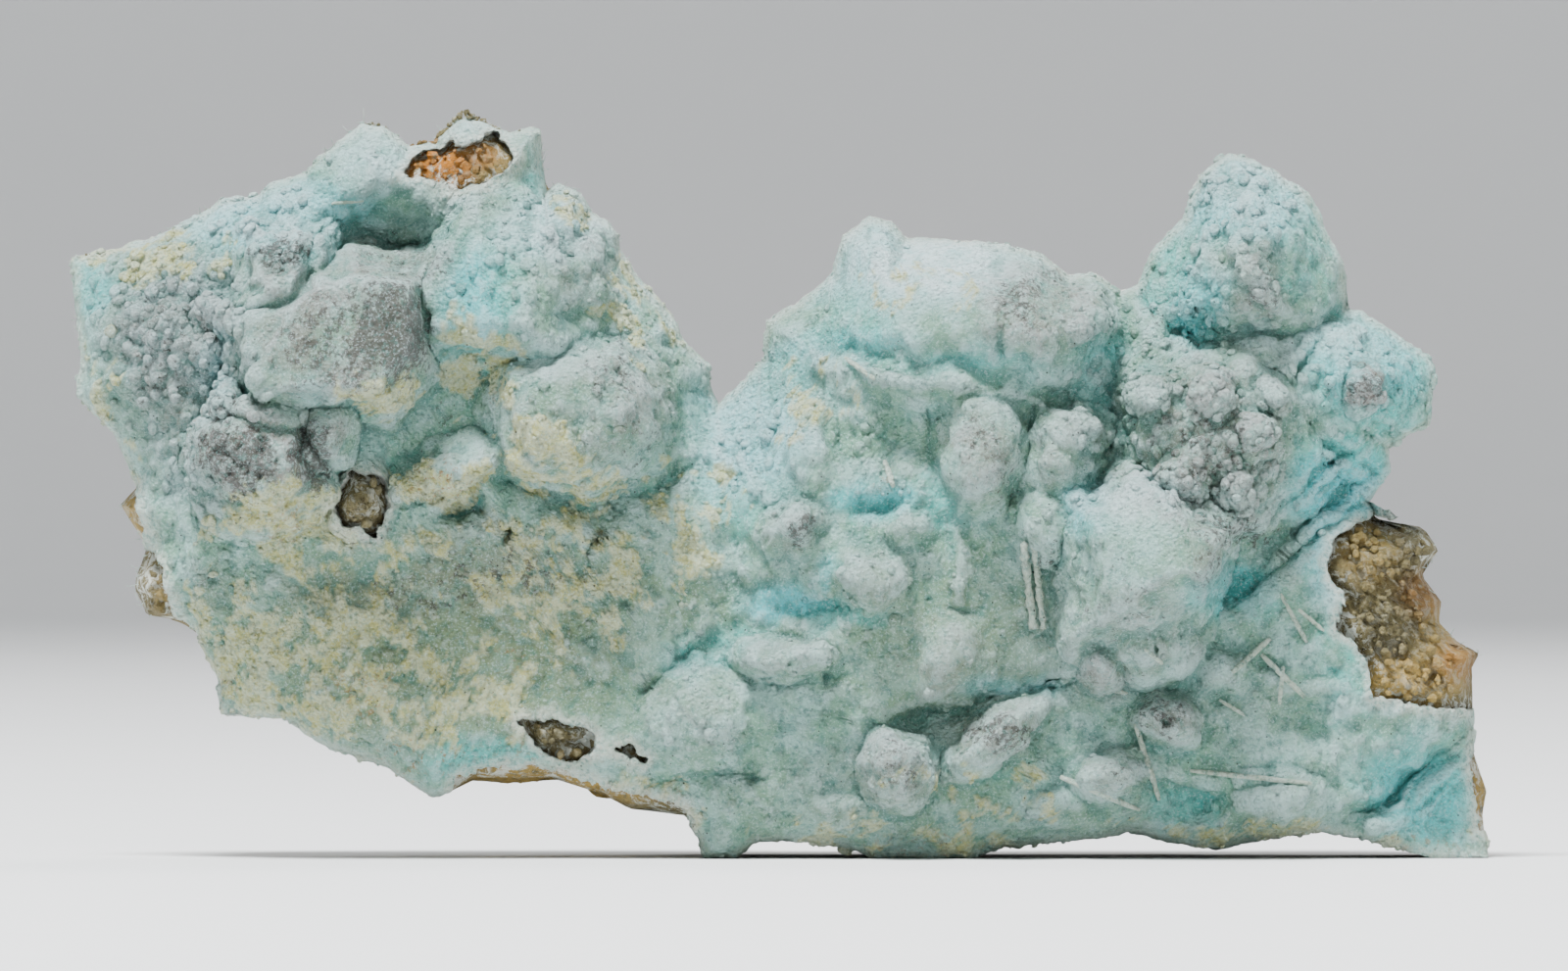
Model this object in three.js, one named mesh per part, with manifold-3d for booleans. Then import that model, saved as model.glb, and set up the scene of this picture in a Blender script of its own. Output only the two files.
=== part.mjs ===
// A natural cabinet specimen of aurichalcite: a blue-green crust with lumps, hollows and folds, grown
// over the front of a broken block of rusty limonite. It stands upright on its lower edge.
// Units are millimetres. +Z is up, the crust faces -Y, and the origin is below the middle of the stone.

import * as THREE from 'three';
import { ImprovedNoise } from 'three/addons/math/ImprovedNoise.js';
import { mergeVertices } from 'three/addons/utils/BufferGeometryUtils.js';
import Module from 'manifold-3d';

// Driving dimensions
const CRUST_THICKNESS = 2.2;
const SEAM_GAP = 0.3;
const ROCK_SIDE_STEPS = 5;
const COLUMNS = 45;
const ROWS = 22;
const FOOT_DROP = 0.4;
const DEPTH_SHIFT = 5;

// How much narrower and lower the rock gets from its front to its back, as shares
const BACK_NARROWING = 0.1;
const BACK_LOWERING = 0.14;

// Where the side edges stop bending the inner columns, as a share of the width
const SIDE_REACH = 0.2;

// The outline seen from the front, [x, z], as four edges
const TOP_EDGE = [
  [-72.2, 61.2], [-67.9, 61.9], [-62.0, 64.0], [-57.0, 67.0], [-53.2, 67.6], [-51.9, 68.8],
  [-48.3, 70.0], [-47.2, 71.5], [-42.6, 74.8], [-40.4, 74.6], [-37.9, 72.5], [-35.2, 72.9],
  [-34.8, 73.7], [-32.2, 75.6], [-29.4, 74.6], [-27.8, 73.8], [-25.3, 74.6], [-24.5, 74.2],
  [-24.4, 72.0], [-24.2, 68.5], [-24.0, 67.4], [-22.6, 68.7], [-20.4, 67.6], [-19.2, 65.5],
  [-17.6, 65.0], [-16.6, 63.7], [-16.4, 62.0], [-13.8, 58.1], [-10.6, 54.5], [-10.0, 52.8],
  [-7.5, 50.3], [-7.1, 47.5], [-6.4, 46.2], [-4.2, 48.1], [-1.6, 50.9], [-1.4, 54.8],
  [1.8, 56.5], [5.3, 59.6], [6.4, 63.3], [9.1, 65.5], [11.3, 64.9], [12.8, 63.2],
  [20.5, 62.9], [26.6, 61.6], [29.6, 59.5], [32.2, 59.7], [34.8, 57.8], [36.6, 58.4],
  [38.1, 61.9], [41.1, 65.1], [42.9, 69.7], [46.0, 71.7], [50.1, 70.4], [53.9, 67.6],
  [57.5, 60.5], [57.8, 56.0], [59.5, 55.5], [62.6, 53.6], [66.3, 51.1],
];
const BOTTOM_EDGE = [
  [-56.4, 14.5], [-50.7, 14.3], [-45.6, 11.1], [-39.8, 9.2], [-35.5, 6.2], [-34.1, 6.5],
  [-31.4, 8.2], [-23.6, 8.2], [-18.1, 6.5], [-15.4, 5.0], [-9.6, 4.3], [-8.2, 1.8],
  [-7.6, 0], [-4.6, 0], [-2.7, 1.6], [2.6, 1.9], [7.9, 0.9], [9.9, 0], [19.5, 0],
  [22.8, 1.2], [30.7, 1.8], [35.4, 2.6], [41.6, 1.4], [44.8, 0.8], [48.9, 1.9], [55.1, 2.8],
  [61.3, 1.5], [66.6, 0], [72.1, 0],
];
const LEFT_EDGE = [
  [-56.4, 14.5], [-57.4, 16.5], [-57.3, 18.0], [-59.7, 23.3], [-60.6, 24.1], [-64.7, 24.7],
  [-65.9, 27.3], [-65.8, 28.5], [-64.7, 31.7], [-67.4, 36.0], [-65.7, 37.8], [-67.9, 43.6],
  [-71.2, 46.7], [-71.7, 47.8], [-71.2, 50.0], [-71.8, 55.3], [-72.2, 61.2],
];
const RIGHT_EDGE = [
  [72.1, 0], [71.8, 4.3], [72.2, 6.7], [70.8, 10.9], [70.8, 15.0], [70.7, 19.3], [71.5, 20.8],
  [69.2, 22.0], [67.3, 24.0], [67.6, 26.1], [65.6, 28.7], [67.3, 31.4], [65.7, 33.7],
  [60.4, 34.4], [60.7, 35.2], [60.0, 36.2], [62.3, 39.3], [62.0, 41.9], [64.2, 43.3],
  [66.4, 44.2], [66.7, 49.8], [66.3, 51.1],
];

// Peaks and notches of the outline that a column of the mesh has to pass through
const CORNER_COLUMNS = [
  -57.0, -51.9, -47.2, -42.6, -37.9, -35.2, -32.2, -27.8, -24.5, -24.0, -19.2, -16.4, -10.6,
  -7.1, -4.2, -1.4, 1.8, 5.3, 9.1, 12.8, 29.6, 34.8, 38.1, 42.9, 46.0, 53.9, 57.8, 62.6,
];

// The columns stand straight between these two stations, given as [share of the width, x]
const LEFT_STATION = [0.14, -50];
const RIGHT_STATION = [0.92, 57];

// How far the crust stands forward at its rim and in the middle, and how wide the edge rolls over
const RIM_REACH = { top: 4, bottom: 9.5, side: 4 };
const ROLL_WIDTH = { top: 13, bottom: 7, side: 13 };
const CROWN_REACH = 15;

// The broad shape: soft rises (and falls) of the whole face
// [x, z, half width, half height, height]
const SWELLS = [
  [12, 30, 30, 26, 3.5],
  [-60, 50, 16, 22, -2.0],
  [-30, 22, 22, 12, -1.5],
  [48, 22, 16, 12, -1.5],
  [60, 8, 14, 10, -1.5],
];

// Lumps. x, z, how far forward the top is, how far it drops at its foot, the half extents
// [left, right, down, up], how flat its top is (2 is round), and its turn in degrees
const LUMPS = {
  greyBlock: [-44.8, 53.0, 28, 11, [9.8, 9.6, 7.0, 6.6], 3.6, -6],
  lumpAboveBlock: [-50.0, 59.0, 20, 8, [3.7, 3.7, 5.5, 4.2], 3, 12],
  mottledLump: [-52.8, 41.0, 26, 10, [7.0, 6.6, 5.0, 5.4], 4, 0],
  mottledSkirt: [-50.4, 36.0, 20, 8, [7.6, 7.0, 4.0, 6.0], 3, 10],
  lumpBesideMottled: [-46.8, 44.0, 24, 8, [2.9, 3.3, 4.4, 3.8], 3, 0],
  smallKnob: [-55.6, 47.2, 19, 7, [2.4, 2.4, 2.6, 2.4], 2.5, 0],
  flankLumpHigh: [-62.5, 57.5, 12.5, 4, [4.6, 4.4, 3.6, 3.6], 2.4, 0],
  flankLumpMiddle: [-59.3, 51.8, 14, 5, [4.2, 4.2, 4.6, 4.4], 2.4, 0],
  flankLumpLow: [-63.8, 44.8, 12, 4, [4.2, 4.6, 3.8, 3.8], 2.2, 0],
  caveMound: [-24.2, 60.0, 21, 10, [8.6, 7.4, 11.0, 8.2], 3, 24],
  lowerMound: [-20.6, 45.2, 23, 10, [10.0, 9.6, 8.2, 9.0], 3, 0],
  moundShoulder: [-14.8, 48.2, 19, 8, [6.0, 5.6, 7.0, 6.4], 2.2, 0],
  rimOverCave: [-32.8, 66.8, 14, 6, [6.6, 6.4, 2.4, 5.0], 3, 14],
  topHorn: [-26.0, 71.6, 10, 6, [1.8, 1.6, 5.0, 3.4], 2.2, 0],
  yellowLedge: [-34.0, 38.6, 20.5, 6, [6.0, 5.0, 1.9, 4.0], 3.5, 12],
  slopingFacet: [-42.8, 36.6, 18, 4, [3.0, 3.8, 4.2, 4.4], 4, -12],
  edgeKnob: [-59.6, 27.4, 13.5, 4, [1.9, 1.8, 2.0, 2.0], 2.2, 0],
  mainMound: [18.9, 56.6, 24, 12, [13.6, 16.0, 8.6, 8.0], 2.6, -3],
  mainMoundEnd: [24.6, 55.4, 26, 9, [6.6, 7.4, 5.8, 5.4], 2.3, -20],
  topProng: [9.0, 62.6, 12, 6, [3.4, 3.8, 5.0, 4.0], 2.2, 0],
  ovalMound: [20.5, 41.2, 25, 8.5, [4.6, 5.0, 6.6, 5.8], 2.8, -6],
  besideOval: [28.3, 40.4, 23, 8, [3.8, 3.9, 5.6, 4.8], 2.6, 6],
  leftCupWall: [2.6, 42.0, 19, 5, [4.5, 4.0, 6.0, 6.0], 2.2, 0],
  pointedBump: [1.4, 34.0, 21.5, 7, [2.8, 4.0, 3.8, 3.0], 2.2, 0],
  roundBump: [9.2, 28.4, 22, 7, [4.8, 5.4, 4.0, 3.6], 2.6, 0],
  lipBump: [-0.4, 20.6, 22, 6.5, [4.2, 6.0, 2.8, 2.0], 2.8, 0],
  smoothMound: [17.0, 21.0, 21, 4.5, [4.2, 4.6, 5.0, 5.0], 2.2, 0],
  fang: [39.4, 30.4, 30, 12, [9.4, 5.2, 8.0, 6.2], 2.6, 0],
  fangTop: [34.2, 35.2, 26, 9, [5.0, 5.4, 5.4, 3.4], 2.8, -10],
  fangFoot: [38.2, 23.2, 25, 8, [6.4, 5.4, 4.6, 5.4], 2.4, 0],
  greyBotryoids: [42.4, 42.6, 22.5, 8, [7.0, 9.4, 9.4, 8.4], 2.3, 0],
  greyBotryoidsFoot: [45.6, 34.6, 19, 7, [6.0, 6.0, 3.8, 5.4], 2.4, 0],
  cone: [47.4, 61.0, 20, 11, [9.6, 10.0, 9.6, 11.0], 2.1, 4],
  rightLobe: [60.2, 48.6, 17, 8, [8.6, 7.0, 6.0, 6.0], 2.4, -14],
  lobeKnob: [59.3, 47.8, 20.5, 6, [2.4, 2.5, 2.8, 2.5], 2, 0],
  slopeBump: [32.4, 19.8, 21.5, 4, [2.2, 2.2, 2.0, 2.0], 2.2, 0],
  thornBump: [39.4, 14.0, 21, 5, [3.4, 3.0, 2.4, 2.4], 2.4, 0],
  lowBump: [33.8, 8.6, 20, 5, [4.4, 4.4, 3.0, 2.4], 2.4, 0],
  fishHead: [11.4, 9.4, 23.5, 8, [2.9, 4.6, 4.4, 4.2], 2.8, -22],
  slantRidge: [21.9, 12.6, 23.5, 7.5, [6.2, 6.0, 2.6, 2.2], 2.6, 36],
  paleMound: [-7.4, 14.6, 19.5, 7, [8.0, 8.4, 6.6, 6.0], 2.2, 10],
  lowLobe: [51.0, 5.8, 18.5, 6, [5.4, 5.4, 3.8, 3.2], 2.6, 0],
};

// Hollows. x, z, how far forward the floor is, how far the side rises, half extents, flatness, turn
const HOLLOWS = {
  cave: [-39.2, 61.6, 3.5, 11, [7.6, 5.4, 4.6, 5.8], 2.2, 8],
  underMottled: [-41.6, 28.8, 13.5, 3, [8.0, 8.0, 4.0, 3.6], 2, 0],
  underLedge: [-32.6, 35.2, 11.5, 6, [3.0, 3.0, 1.6, 1.6], 2, 10],
  cup: [10.4, 43.0, 15.5, 5, [6.2, 5.4, 4.2, 4.6], 2.2, 0],
  blueHollow: [9.6, 35.8, 15.5, 4.5, [4.0, 3.6, 1.9, 2.4], 2, 0],
  lowBlueHollow: [3.9, 25.4, 16, 4, [5.4, 4.4, 2.0, 2.4], 2, 0],
  betweenRidges: [16.0, 14.2, 14.5, 5, [4.2, 4.4, 3.0, 2.2], 2, 0],
  rightHollow: [53.4, 13.6, 13, 3.5, [4.8, 4.8, 3.2, 3.2], 2, 0],
  tealHollow: [41.4, 5.6, 11, 6, [5.6, 5.0, 2.2, 2.6], 2.4, 0],
  foldFloor: [67.4, 4.6, 9.5, 6, [8.0, 7.0, 6.0, 8.4], 3, 32],
};

// Creases (negative) and ribs (positive): the points they run through, half width, height
const LINES = {
  valleyFromNotch: [[[-6.1, 46.5], [-5.8, 31.5], [-4.0, 24.5]], 9, -3],
  underLowerMound: [[[-27, 38.2], [-18.6, 35.4], [-11.0, 39.2]], 2.6, -3.5],
  aboveMainRidge: [[[8.0, 51.4], [20.4, 49.4], [29.4, 47.2]], 3, -3],
  mainRidge: [[[4.4, 50.0], [13.4, 48.2], [24.4, 47.2], [31.0, 43.6]], 3, 2.5],
  besideMainMound: [[[35.6, 57.5], [34.0, 47.5], [31.8, 37.5]], 3.2, -5],
  behindFang: [[[44.6, 26.5], [51.4, 33.0], [62.4, 40.6]], 4.6, -5.5],
  underCone: [[[40.4, 53.6], [50.4, 53.0], [57.9, 55.4]], 2.4, -3],
  coneRib: [[[47.2, 64.0], [48.6, 58.5], [51.0, 55.2]], 1.8, 1.4],
  crackOverRidge: [[[12.6, 13.4], [21.4, 16.2], [28.4, 18.8]], 1.8, -3.5],
  paleMoundFoot: [[[-12.8, 7.8], [-2.4, 8.8]], 1.6, -2.5],
  foldCrease: [[[70.6, 15.0], [65.9, 8.8], [57.6, 3.2]], 2.2, -3],
  foldRib: [[[68.0, 9.0], [60.6, 3.2]], 1.6, 2],
};
const LUMP_BLEND = 0.9;

// The rock's back: flat broken facets, each [depth behind the middle, slope along x, slope along z]
const BACK_FACETS = [
  [19.5, 0.1, -0.06],
  [24, -0.16, -0.02],
  [22.5, 0.02, -0.2],
  [15.5, 0.03, 0.22],
  [26, 0.24, 0.04],
  [31, -0.02, -0.36],
];
const BACK_RIM = 11;
const ROCK_ROUGHNESS = 1.1;
const ROCK_GRAIN = 9;

// Patches where the crust has broken off and the rock shows, as outlines [x, z]
const BROKEN_PATCHES = {
  topPatch: [[-38.6, 69.4], [-37.2, 71.6], [-32.6, 72.8], [-28.6, 73.6], [-27.0, 71.6], [-27.2, 70.0],
    [-30.0, 68.8], [-33.4, 67.8], [-35.2, 69.2]],
  facetPatch: [[-45.4, 36.0], [-43.4, 39.4], [-40.4, 38.6], [-39.6, 36.2], [-41.4, 32.8], [-44.6, 34.0]],
  bottomPatch: [[-26.6, 14.2], [-24.0, 14.4], [-19.2, 13.4], [-18.4, 11.4], [-21.8, 9.9], [-25.0, 11.4]],
  leftPatchHigh: [[-75, 38.6], [-65.8, 38.4], [-65.0, 35.4], [-64.0, 31.9], [-75, 31]],
  leftPatchLow: [[-75, 31.4], [-63.8, 31.8], [-62.6, 28.0], [-61.6, 25.0], [-60.0, 22.4], [-75, 20]],
  rightPatch: [[58.6, 33.8], [56.0, 32.4], [55.6, 29.4], [57.4, 26.4], [56.8, 23.6], [59.6, 20.4],
    [60.2, 16.4], [66.0, 15.4], [76, 14.6], [76, 34.9], [61.0, 34.9]],
};

const noise = new ImprovedNoise();
const clamp = THREE.MathUtils.clamp;
const lerp = THREE.MathUtils.lerp;

// A point on a polyline at a station along one of its axes (0 for x, 1 for z)
function pointAt(edge, axis, station) {
  const last = edge.length - 1;
  let i = 0;
  while (i < last - 1 && edge[i + 1][axis] < station) i++;
  const [a, b] = [edge[i], edge[i + 1]];
  const t = clamp((station - a[axis]) / (b[axis] - a[axis]), 0, 1);
  return [lerp(a[0], b[0], t), lerp(a[1], b[1], t)];
}

// A point on a side edge at a share of its height
function sidePoint(edge, v) {
  const [low, high] = [edge[0], edge[edge.length - 1]];
  return pointAt(edge, 1, lerp(low[1], high[1], v));
}

// The x of a column at a share u of the width, along an edge that starts and ends at its own corners
function columnX(edge, u) {
  const [first, last] = [edge[0][0], edge[edge.length - 1][0]];
  const [leftU, leftX] = LEFT_STATION;
  const [rightU, rightX] = RIGHT_STATION;
  if (u < leftU) return lerp(first, leftX, u / leftU);
  if (u > rightU) return lerp(rightX, last, (u - rightU) / (1 - rightU));
  return lerp(leftX, rightX, (u - leftU) / (rightU - leftU));
}

// The share u of the width at which the top edge has a given x
function columnShare(x) {
  const [leftU, leftX] = LEFT_STATION;
  const [rightU, rightX] = RIGHT_STATION;
  const [first, last] = [TOP_EDGE[0][0], TOP_EDGE[TOP_EDGE.length - 1][0]];
  if (x < leftX) return (leftU * (x - first)) / (leftX - first);
  if (x > rightX) return rightU + ((1 - rightU) * (x - rightX)) / (last - rightX);
  return lerp(leftU, rightU, (x - leftX) / (rightX - leftX));
}

// Evenly spread columns, the nearest of which moves to each corner of the outline
function columnShares(count) {
  const shares = Array.from({ length: count + 1 }, (_, i) => i / count);
  for (const x of CORNER_COLUMNS) {
    const share = columnShare(x);
    const i = clamp(Math.round(share * count), 1, count - 1);
    shares[i] = share;
  }
  return shares;
}

// The place in the outline of a share u of the width and v of the height
function outlinePoint(u, v) {
  const low = pointAt(BOTTOM_EDGE, 0, columnX(BOTTOM_EDGE, u));
  const high = pointAt(TOP_EDGE, 0, columnX(TOP_EDGE, u));
  const point = [lerp(low[0], high[0], v), lerp(low[1], high[1], v)];
  for (const [edge, away] of [[LEFT_EDGE, u], [RIGHT_EDGE, 1 - u]]) {
    const pull = Math.max(0, 1 - away / SIDE_REACH) ** 2;
    const [bottom, top] = [edge[0], edge[edge.length - 1]];
    const side = sidePoint(edge, v);
    point[0] += pull * (side[0] - lerp(bottom[0], top[0], v));
    point[1] += pull * (side[1] - lerp(bottom[1], top[1], v));
  }
  return point;
}

// 0 at the centre of an uneven oval and 1 at its edge
function ovalDistance(x, z, cx, cz, [left, right, down, up], turnDegrees) {
  const turn = THREE.MathUtils.degToRad(turnDegrees);
  const dx = (x - cx) * Math.cos(turn) + (z - cz) * Math.sin(turn);
  const dz = (z - cz) * Math.cos(turn) - (x - cx) * Math.sin(turn);
  return Math.hypot(dx / (dx < 0 ? left : right), dz / (dz < 0 ? down : up));
}

// The distance to a polyline
function lineDistance(x, z, points) {
  let best = Infinity;
  for (let i = 0; i + 1 < points.length; i++) {
    const [a, b] = [points[i], points[i + 1]];
    const [ex, ez] = [b[0] - a[0], b[1] - a[1]];
    const t = clamp(((x - a[0]) * ex + (z - a[1]) * ez) / (ex * ex + ez * ez), 0, 1);
    best = Math.min(best, Math.hypot(x - a[0] - t * ex, z - a[1] - t * ez));
  }
  return best;
}

// The larger of two heights, with their crease rounded
function softMax(a, b, blend) {
  const h = Math.max(blend - Math.abs(a - b), 0) / blend;
  return Math.max(a, b) + (h * h * blend) / 4;
}

const softMin = (a, b, blend) => -softMax(-a, -b, blend);
const fade = (t) => (1 - clamp(t, 0, 1) ** 2) ** 2;

// 0 at the rim and 1 past the width over which the edge rolls
function edgeRoll(x, z) {
  const sideDistance = Math.min(lineDistance(x, z, LEFT_EDGE), lineDistance(x, z, RIGHT_EDGE));
  const top = clamp(lineDistance(x, z, TOP_EDGE) / ROLL_WIDTH.top, 0, 1);
  const bottom = clamp(lineDistance(x, z, BOTTOM_EDGE) / ROLL_WIDTH.bottom, 0, 1);
  const side = clamp(sideDistance / ROLL_WIDTH.side, 0, 1);
  return { top, bottom, side };
}

// How far forward the crust's face is at a place in the outline
function faceReach(x, z) {
  const roll = edgeRoll(x, z);
  const round = (t) => Math.sqrt(1 - (1 - t) ** 2);
  let reach = CROWN_REACH;
  for (const [cx, cz, wide, high, rise] of SWELLS) {
    reach += rise * fade(Math.hypot((x - cx) / wide, (z - cz) / high));
  }
  for (const [cx, cz, top, drop, extents, flat, turn] of Object.values(LUMPS)) {
    const r = ovalDistance(x, z, cx, cz, extents, turn);
    if (r < 1.6) reach = softMax(reach, top - drop * r ** flat, LUMP_BLEND);
  }
  for (const [cx, cz, floor, rise, extents, flat, turn] of Object.values(HOLLOWS)) {
    const r = ovalDistance(x, z, cx, cz, extents, turn);
    if (r < 1.6) reach = softMin(reach, floor + rise * r ** flat, LUMP_BLEND);
  }
  for (const [points, halfWidth, rise] of Object.values(LINES)) {
    reach += rise * fade(lineDistance(x, z, points) / halfWidth);
  }
  reach = lerp(RIM_REACH.top, reach, round(roll.top));
  reach = lerp(RIM_REACH.side, reach, round(roll.side));
  return lerp(RIM_REACH.bottom, reach, round(roll.bottom));
}

// How far back the rock's broken back is
function backReach(x, z) {
  const { top, bottom, side } = edgeRoll(x, z);
  const facets = BACK_FACETS.map(([depth, alongX, alongZ]) => depth + alongX * x + alongZ * z);
  const rough = ROCK_ROUGHNESS * noise.noise(x / ROCK_GRAIN, 3.7, z / ROCK_GRAIN);
  const rim = Math.min(top, side) * (0.4 + 0.6 * bottom);
  return lerp(BACK_RIM, Math.min(...facets), Math.sqrt(rim)) + rough;
}

// A unit box whose vertices are moved onto the stone. shape(u, v, w) gives [x, y, z], where w runs
// from the front to the back
function shapedBox(sideSteps, shape) {
  const box = new THREE.BoxGeometry(1, 1, 1, COLUMNS, sideSteps, ROWS);
  const shares = columnShares(COLUMNS);
  const position = box.getAttribute('position');
  for (let i = 0; i < position.count; i++) {
    const u = shares[Math.round((position.getX(i) + 0.5) * COLUMNS)];
    const w = position.getY(i) + 0.5;
    const v = position.getZ(i) + 0.5;
    position.setXYZ(i, ...shape(u, v, w));
  }
  followRidges(box);
  box.deleteAttribute('normal');
  box.deleteAttribute('uv');
  return mergeVertices(box, 1e-4);
}

// Splits each square of the box's back and front along the more level diagonal, so that the creases
// run along the ridges and valleys
function followRidges(box) {
  const index = box.index.array;
  const y = (corner) => box.getAttribute('position').getY(corner);
  for (const { start, count } of box.groups.slice(2, 4)) {
    for (let i = start; i < start + count; i += 6) {
      const [a, b, , , c, d] = index.subarray(i, i + 6);
      if (Math.abs(y(a) - y(c)) < Math.abs(y(b) - y(d))) index.set([a, b, c, a, c, d], i);
    }
  }
}

// The crust: one shell of even thickness that follows the face
function crustShape(u, v, w) {
  const [x, z] = outlinePoint(u, v);
  return [x, DEPTH_SHIFT - faceReach(x, z) + w * CRUST_THICKNESS, z];
}

// The rock: its front lies behind the crust, its sides draw in towards the back, and its feet are flat
function rockShape(u, v, w) {
  const [x, z] = outlinePoint(u, v);
  const front = -faceReach(x, z) + CRUST_THICKNESS + SEAM_GAP;
  const y = lerp(front, backReach(x, z), w);
  const inward = w * (1 + 0.25 * noise.noise(x / ROCK_GRAIN, y / ROCK_GRAIN, z / ROCK_GRAIN));
  const low = z * (1 - BACK_LOWERING * inward) - (w > 0 ? FOOT_DROP : 0);
  return [x * (1 - BACK_NARROWING * inward), DEPTH_SHIFT + y, Math.max(0, low)];
}

const wasm = await Module();
wasm.setup();

function toSolid(geometry) {
  return new wasm.Manifold(new wasm.Mesh({
    numProp: 3,
    vertProperties: new Float32Array(geometry.getAttribute('position').array),
    triVerts: new Uint32Array(geometry.index.array),
  }));
}

function toGeometry(solid) {
  const mesh = solid.getMesh();
  const geometry = new THREE.BufferGeometry();
  geometry.setAttribute('position', new THREE.BufferAttribute(mesh.vertProperties, 3));
  geometry.setIndex(new THREE.BufferAttribute(mesh.triVerts, 1));
  geometry.computeVertexNormals();
  return geometry;
}

// A straight plug through the crust, with a patch's outline
function patchPlug(outline) {
  const depth = 80;
  const shape = new THREE.Shape(outline.map(([x, z]) => new THREE.Vector2(x, z)));
  const plug = new THREE.ExtrudeGeometry(shape, { depth, bevelEnabled: false });
  plug.rotateX(Math.PI / 2);
  plug.translate(0, depth / 2, 0);
  plug.deleteAttribute('normal');
  plug.deleteAttribute('uv');
  return toSolid(mergeVertices(plug, 1e-4));
}

function brokenCrust() {
  let crust = toSolid(shapedBox(1, crustShape));
  for (const outline of Object.values(BROKEN_PATCHES)) {
    crust = crust.subtract(patchPlug(outline));
  }
  return toGeometry(crust);
}

function rockBlock() {
  return toGeometry(toSolid(shapedBox(ROCK_SIDE_STEPS, rockShape)));
}

const crustMaterial = new THREE.MeshStandardMaterial({ color: 0xb4cfc6, roughness: 0.85, metalness: 0 });
const rockMaterial = new THREE.MeshStandardMaterial({ color: 0x8a6a3c, roughness: 0.95, metalness: 0 });

const crust = new THREE.Mesh(brokenCrust(), crustMaterial);
crust.name = 'aurichalcite_crust';
const rock = new THREE.Mesh(rockBlock(), rockMaterial);
rock.name = 'limonite_matrix';

const specimen = new THREE.Group();
specimen.add(crust, rock);

export default specimen;
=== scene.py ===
"""A natural cabinet specimen of aurichalcite: a blue-green crust grown over a block of rusty limonite.

Forms are worked out in millimetres, with x to the right, z up and the crusted face towards -y, and are
turned to metres when a mesh is made. Colours are sRGB values from 0 to 255.
"""
import itertools
import math

import bmesh
import bpy
import numpy as np
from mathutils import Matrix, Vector
from mathutils.geometry import delaunay_2d_cdt


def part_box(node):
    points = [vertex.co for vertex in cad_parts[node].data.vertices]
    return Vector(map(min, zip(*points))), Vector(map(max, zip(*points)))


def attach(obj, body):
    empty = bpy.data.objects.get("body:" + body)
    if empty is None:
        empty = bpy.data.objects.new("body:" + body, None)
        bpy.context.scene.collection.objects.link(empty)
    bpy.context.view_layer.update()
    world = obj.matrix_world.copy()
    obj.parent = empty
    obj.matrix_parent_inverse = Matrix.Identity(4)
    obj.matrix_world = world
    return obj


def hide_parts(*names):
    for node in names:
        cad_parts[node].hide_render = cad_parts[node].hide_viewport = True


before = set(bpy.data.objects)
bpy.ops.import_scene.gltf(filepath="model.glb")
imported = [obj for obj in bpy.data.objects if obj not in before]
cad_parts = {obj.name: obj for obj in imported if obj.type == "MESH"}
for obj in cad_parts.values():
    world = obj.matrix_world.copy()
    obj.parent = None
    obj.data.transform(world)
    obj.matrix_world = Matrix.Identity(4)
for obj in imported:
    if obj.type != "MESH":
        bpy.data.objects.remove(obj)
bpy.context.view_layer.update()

MM = 0.001

# Driving dimensions in mm, as in the solids
CRUST_THICKNESS = 2.2
SEAM_GAP = 0.3
BACK_NARROWING = 0.1
BACK_LOWERING = 0.14
SIDE_REACH = 0.2
LEFT_STATION = (0.14, -50)
RIGHT_STATION = (0.92, 57)
RIM_REACH = {"top": 4, "bottom": 9.5, "side": 4}
ROLL_WIDTH = {"top": 13, "bottom": 7, "side": 13}
CROWN_REACH = 15
BACK_RIM = 11
# How widely the creases round soft lumps, hollows and crisp lumps are rounded, in mm
LUMP_BLEND = 2.4
HOLLOW_BLEND = 4.0
CRISP_BLEND = 0.7
# The meshes' lines follow smoothed edges inside the stone, and the true ones only close to its rim
EDGE_STEP = 0.1
EDGE_SMOOTHING = 5.0
EDGE_GRIP = 6
SIDE_GRIP = 14
# The map from which the back is worked out, over the whole stone
MAP_STEP = 0.5
MAP_X = (-76, 77)
MAP_Z = (-3, 80)
# How far round a place the back of the crust, and behind it the rock, stay clear of the face
BACK_CLEARANCE = 2.5
ROCK_CLEARANCE = 5.0
# Forms with a sharp crease round them
CRISP_LUMPS = {
    "mottled_lump", "lump_beside_mottled", "small_knob", "mottled_brow", "mottled_skirt",
    "cave_mound", "lower_mound", "lobe_knob", "yellow_ledge",
}

# The crust's rearmost plane is its rim, so the frame gives how far back the whole stone stands
CRUST_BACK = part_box("aurichalcite_crust")[1][1] / MM
DEPTH_SHIFT = CRUST_BACK - CRUST_THICKNESS + RIM_REACH["top"]

# Mesh fineness: columns across, rows up and steps through
CRUST_GRID = (520, 168)
ROCK_GRID = (250, 116, 36)
WALL_STEPS = 3
WALL_ROUGHNESS = 0.16
BACK_SPACING = 3.0
# How much the mesh's lines gather where the face is steep, and how smoothly
GATHERING = 0.6
GATHERING_ROUNDS = (24, 4)

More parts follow.
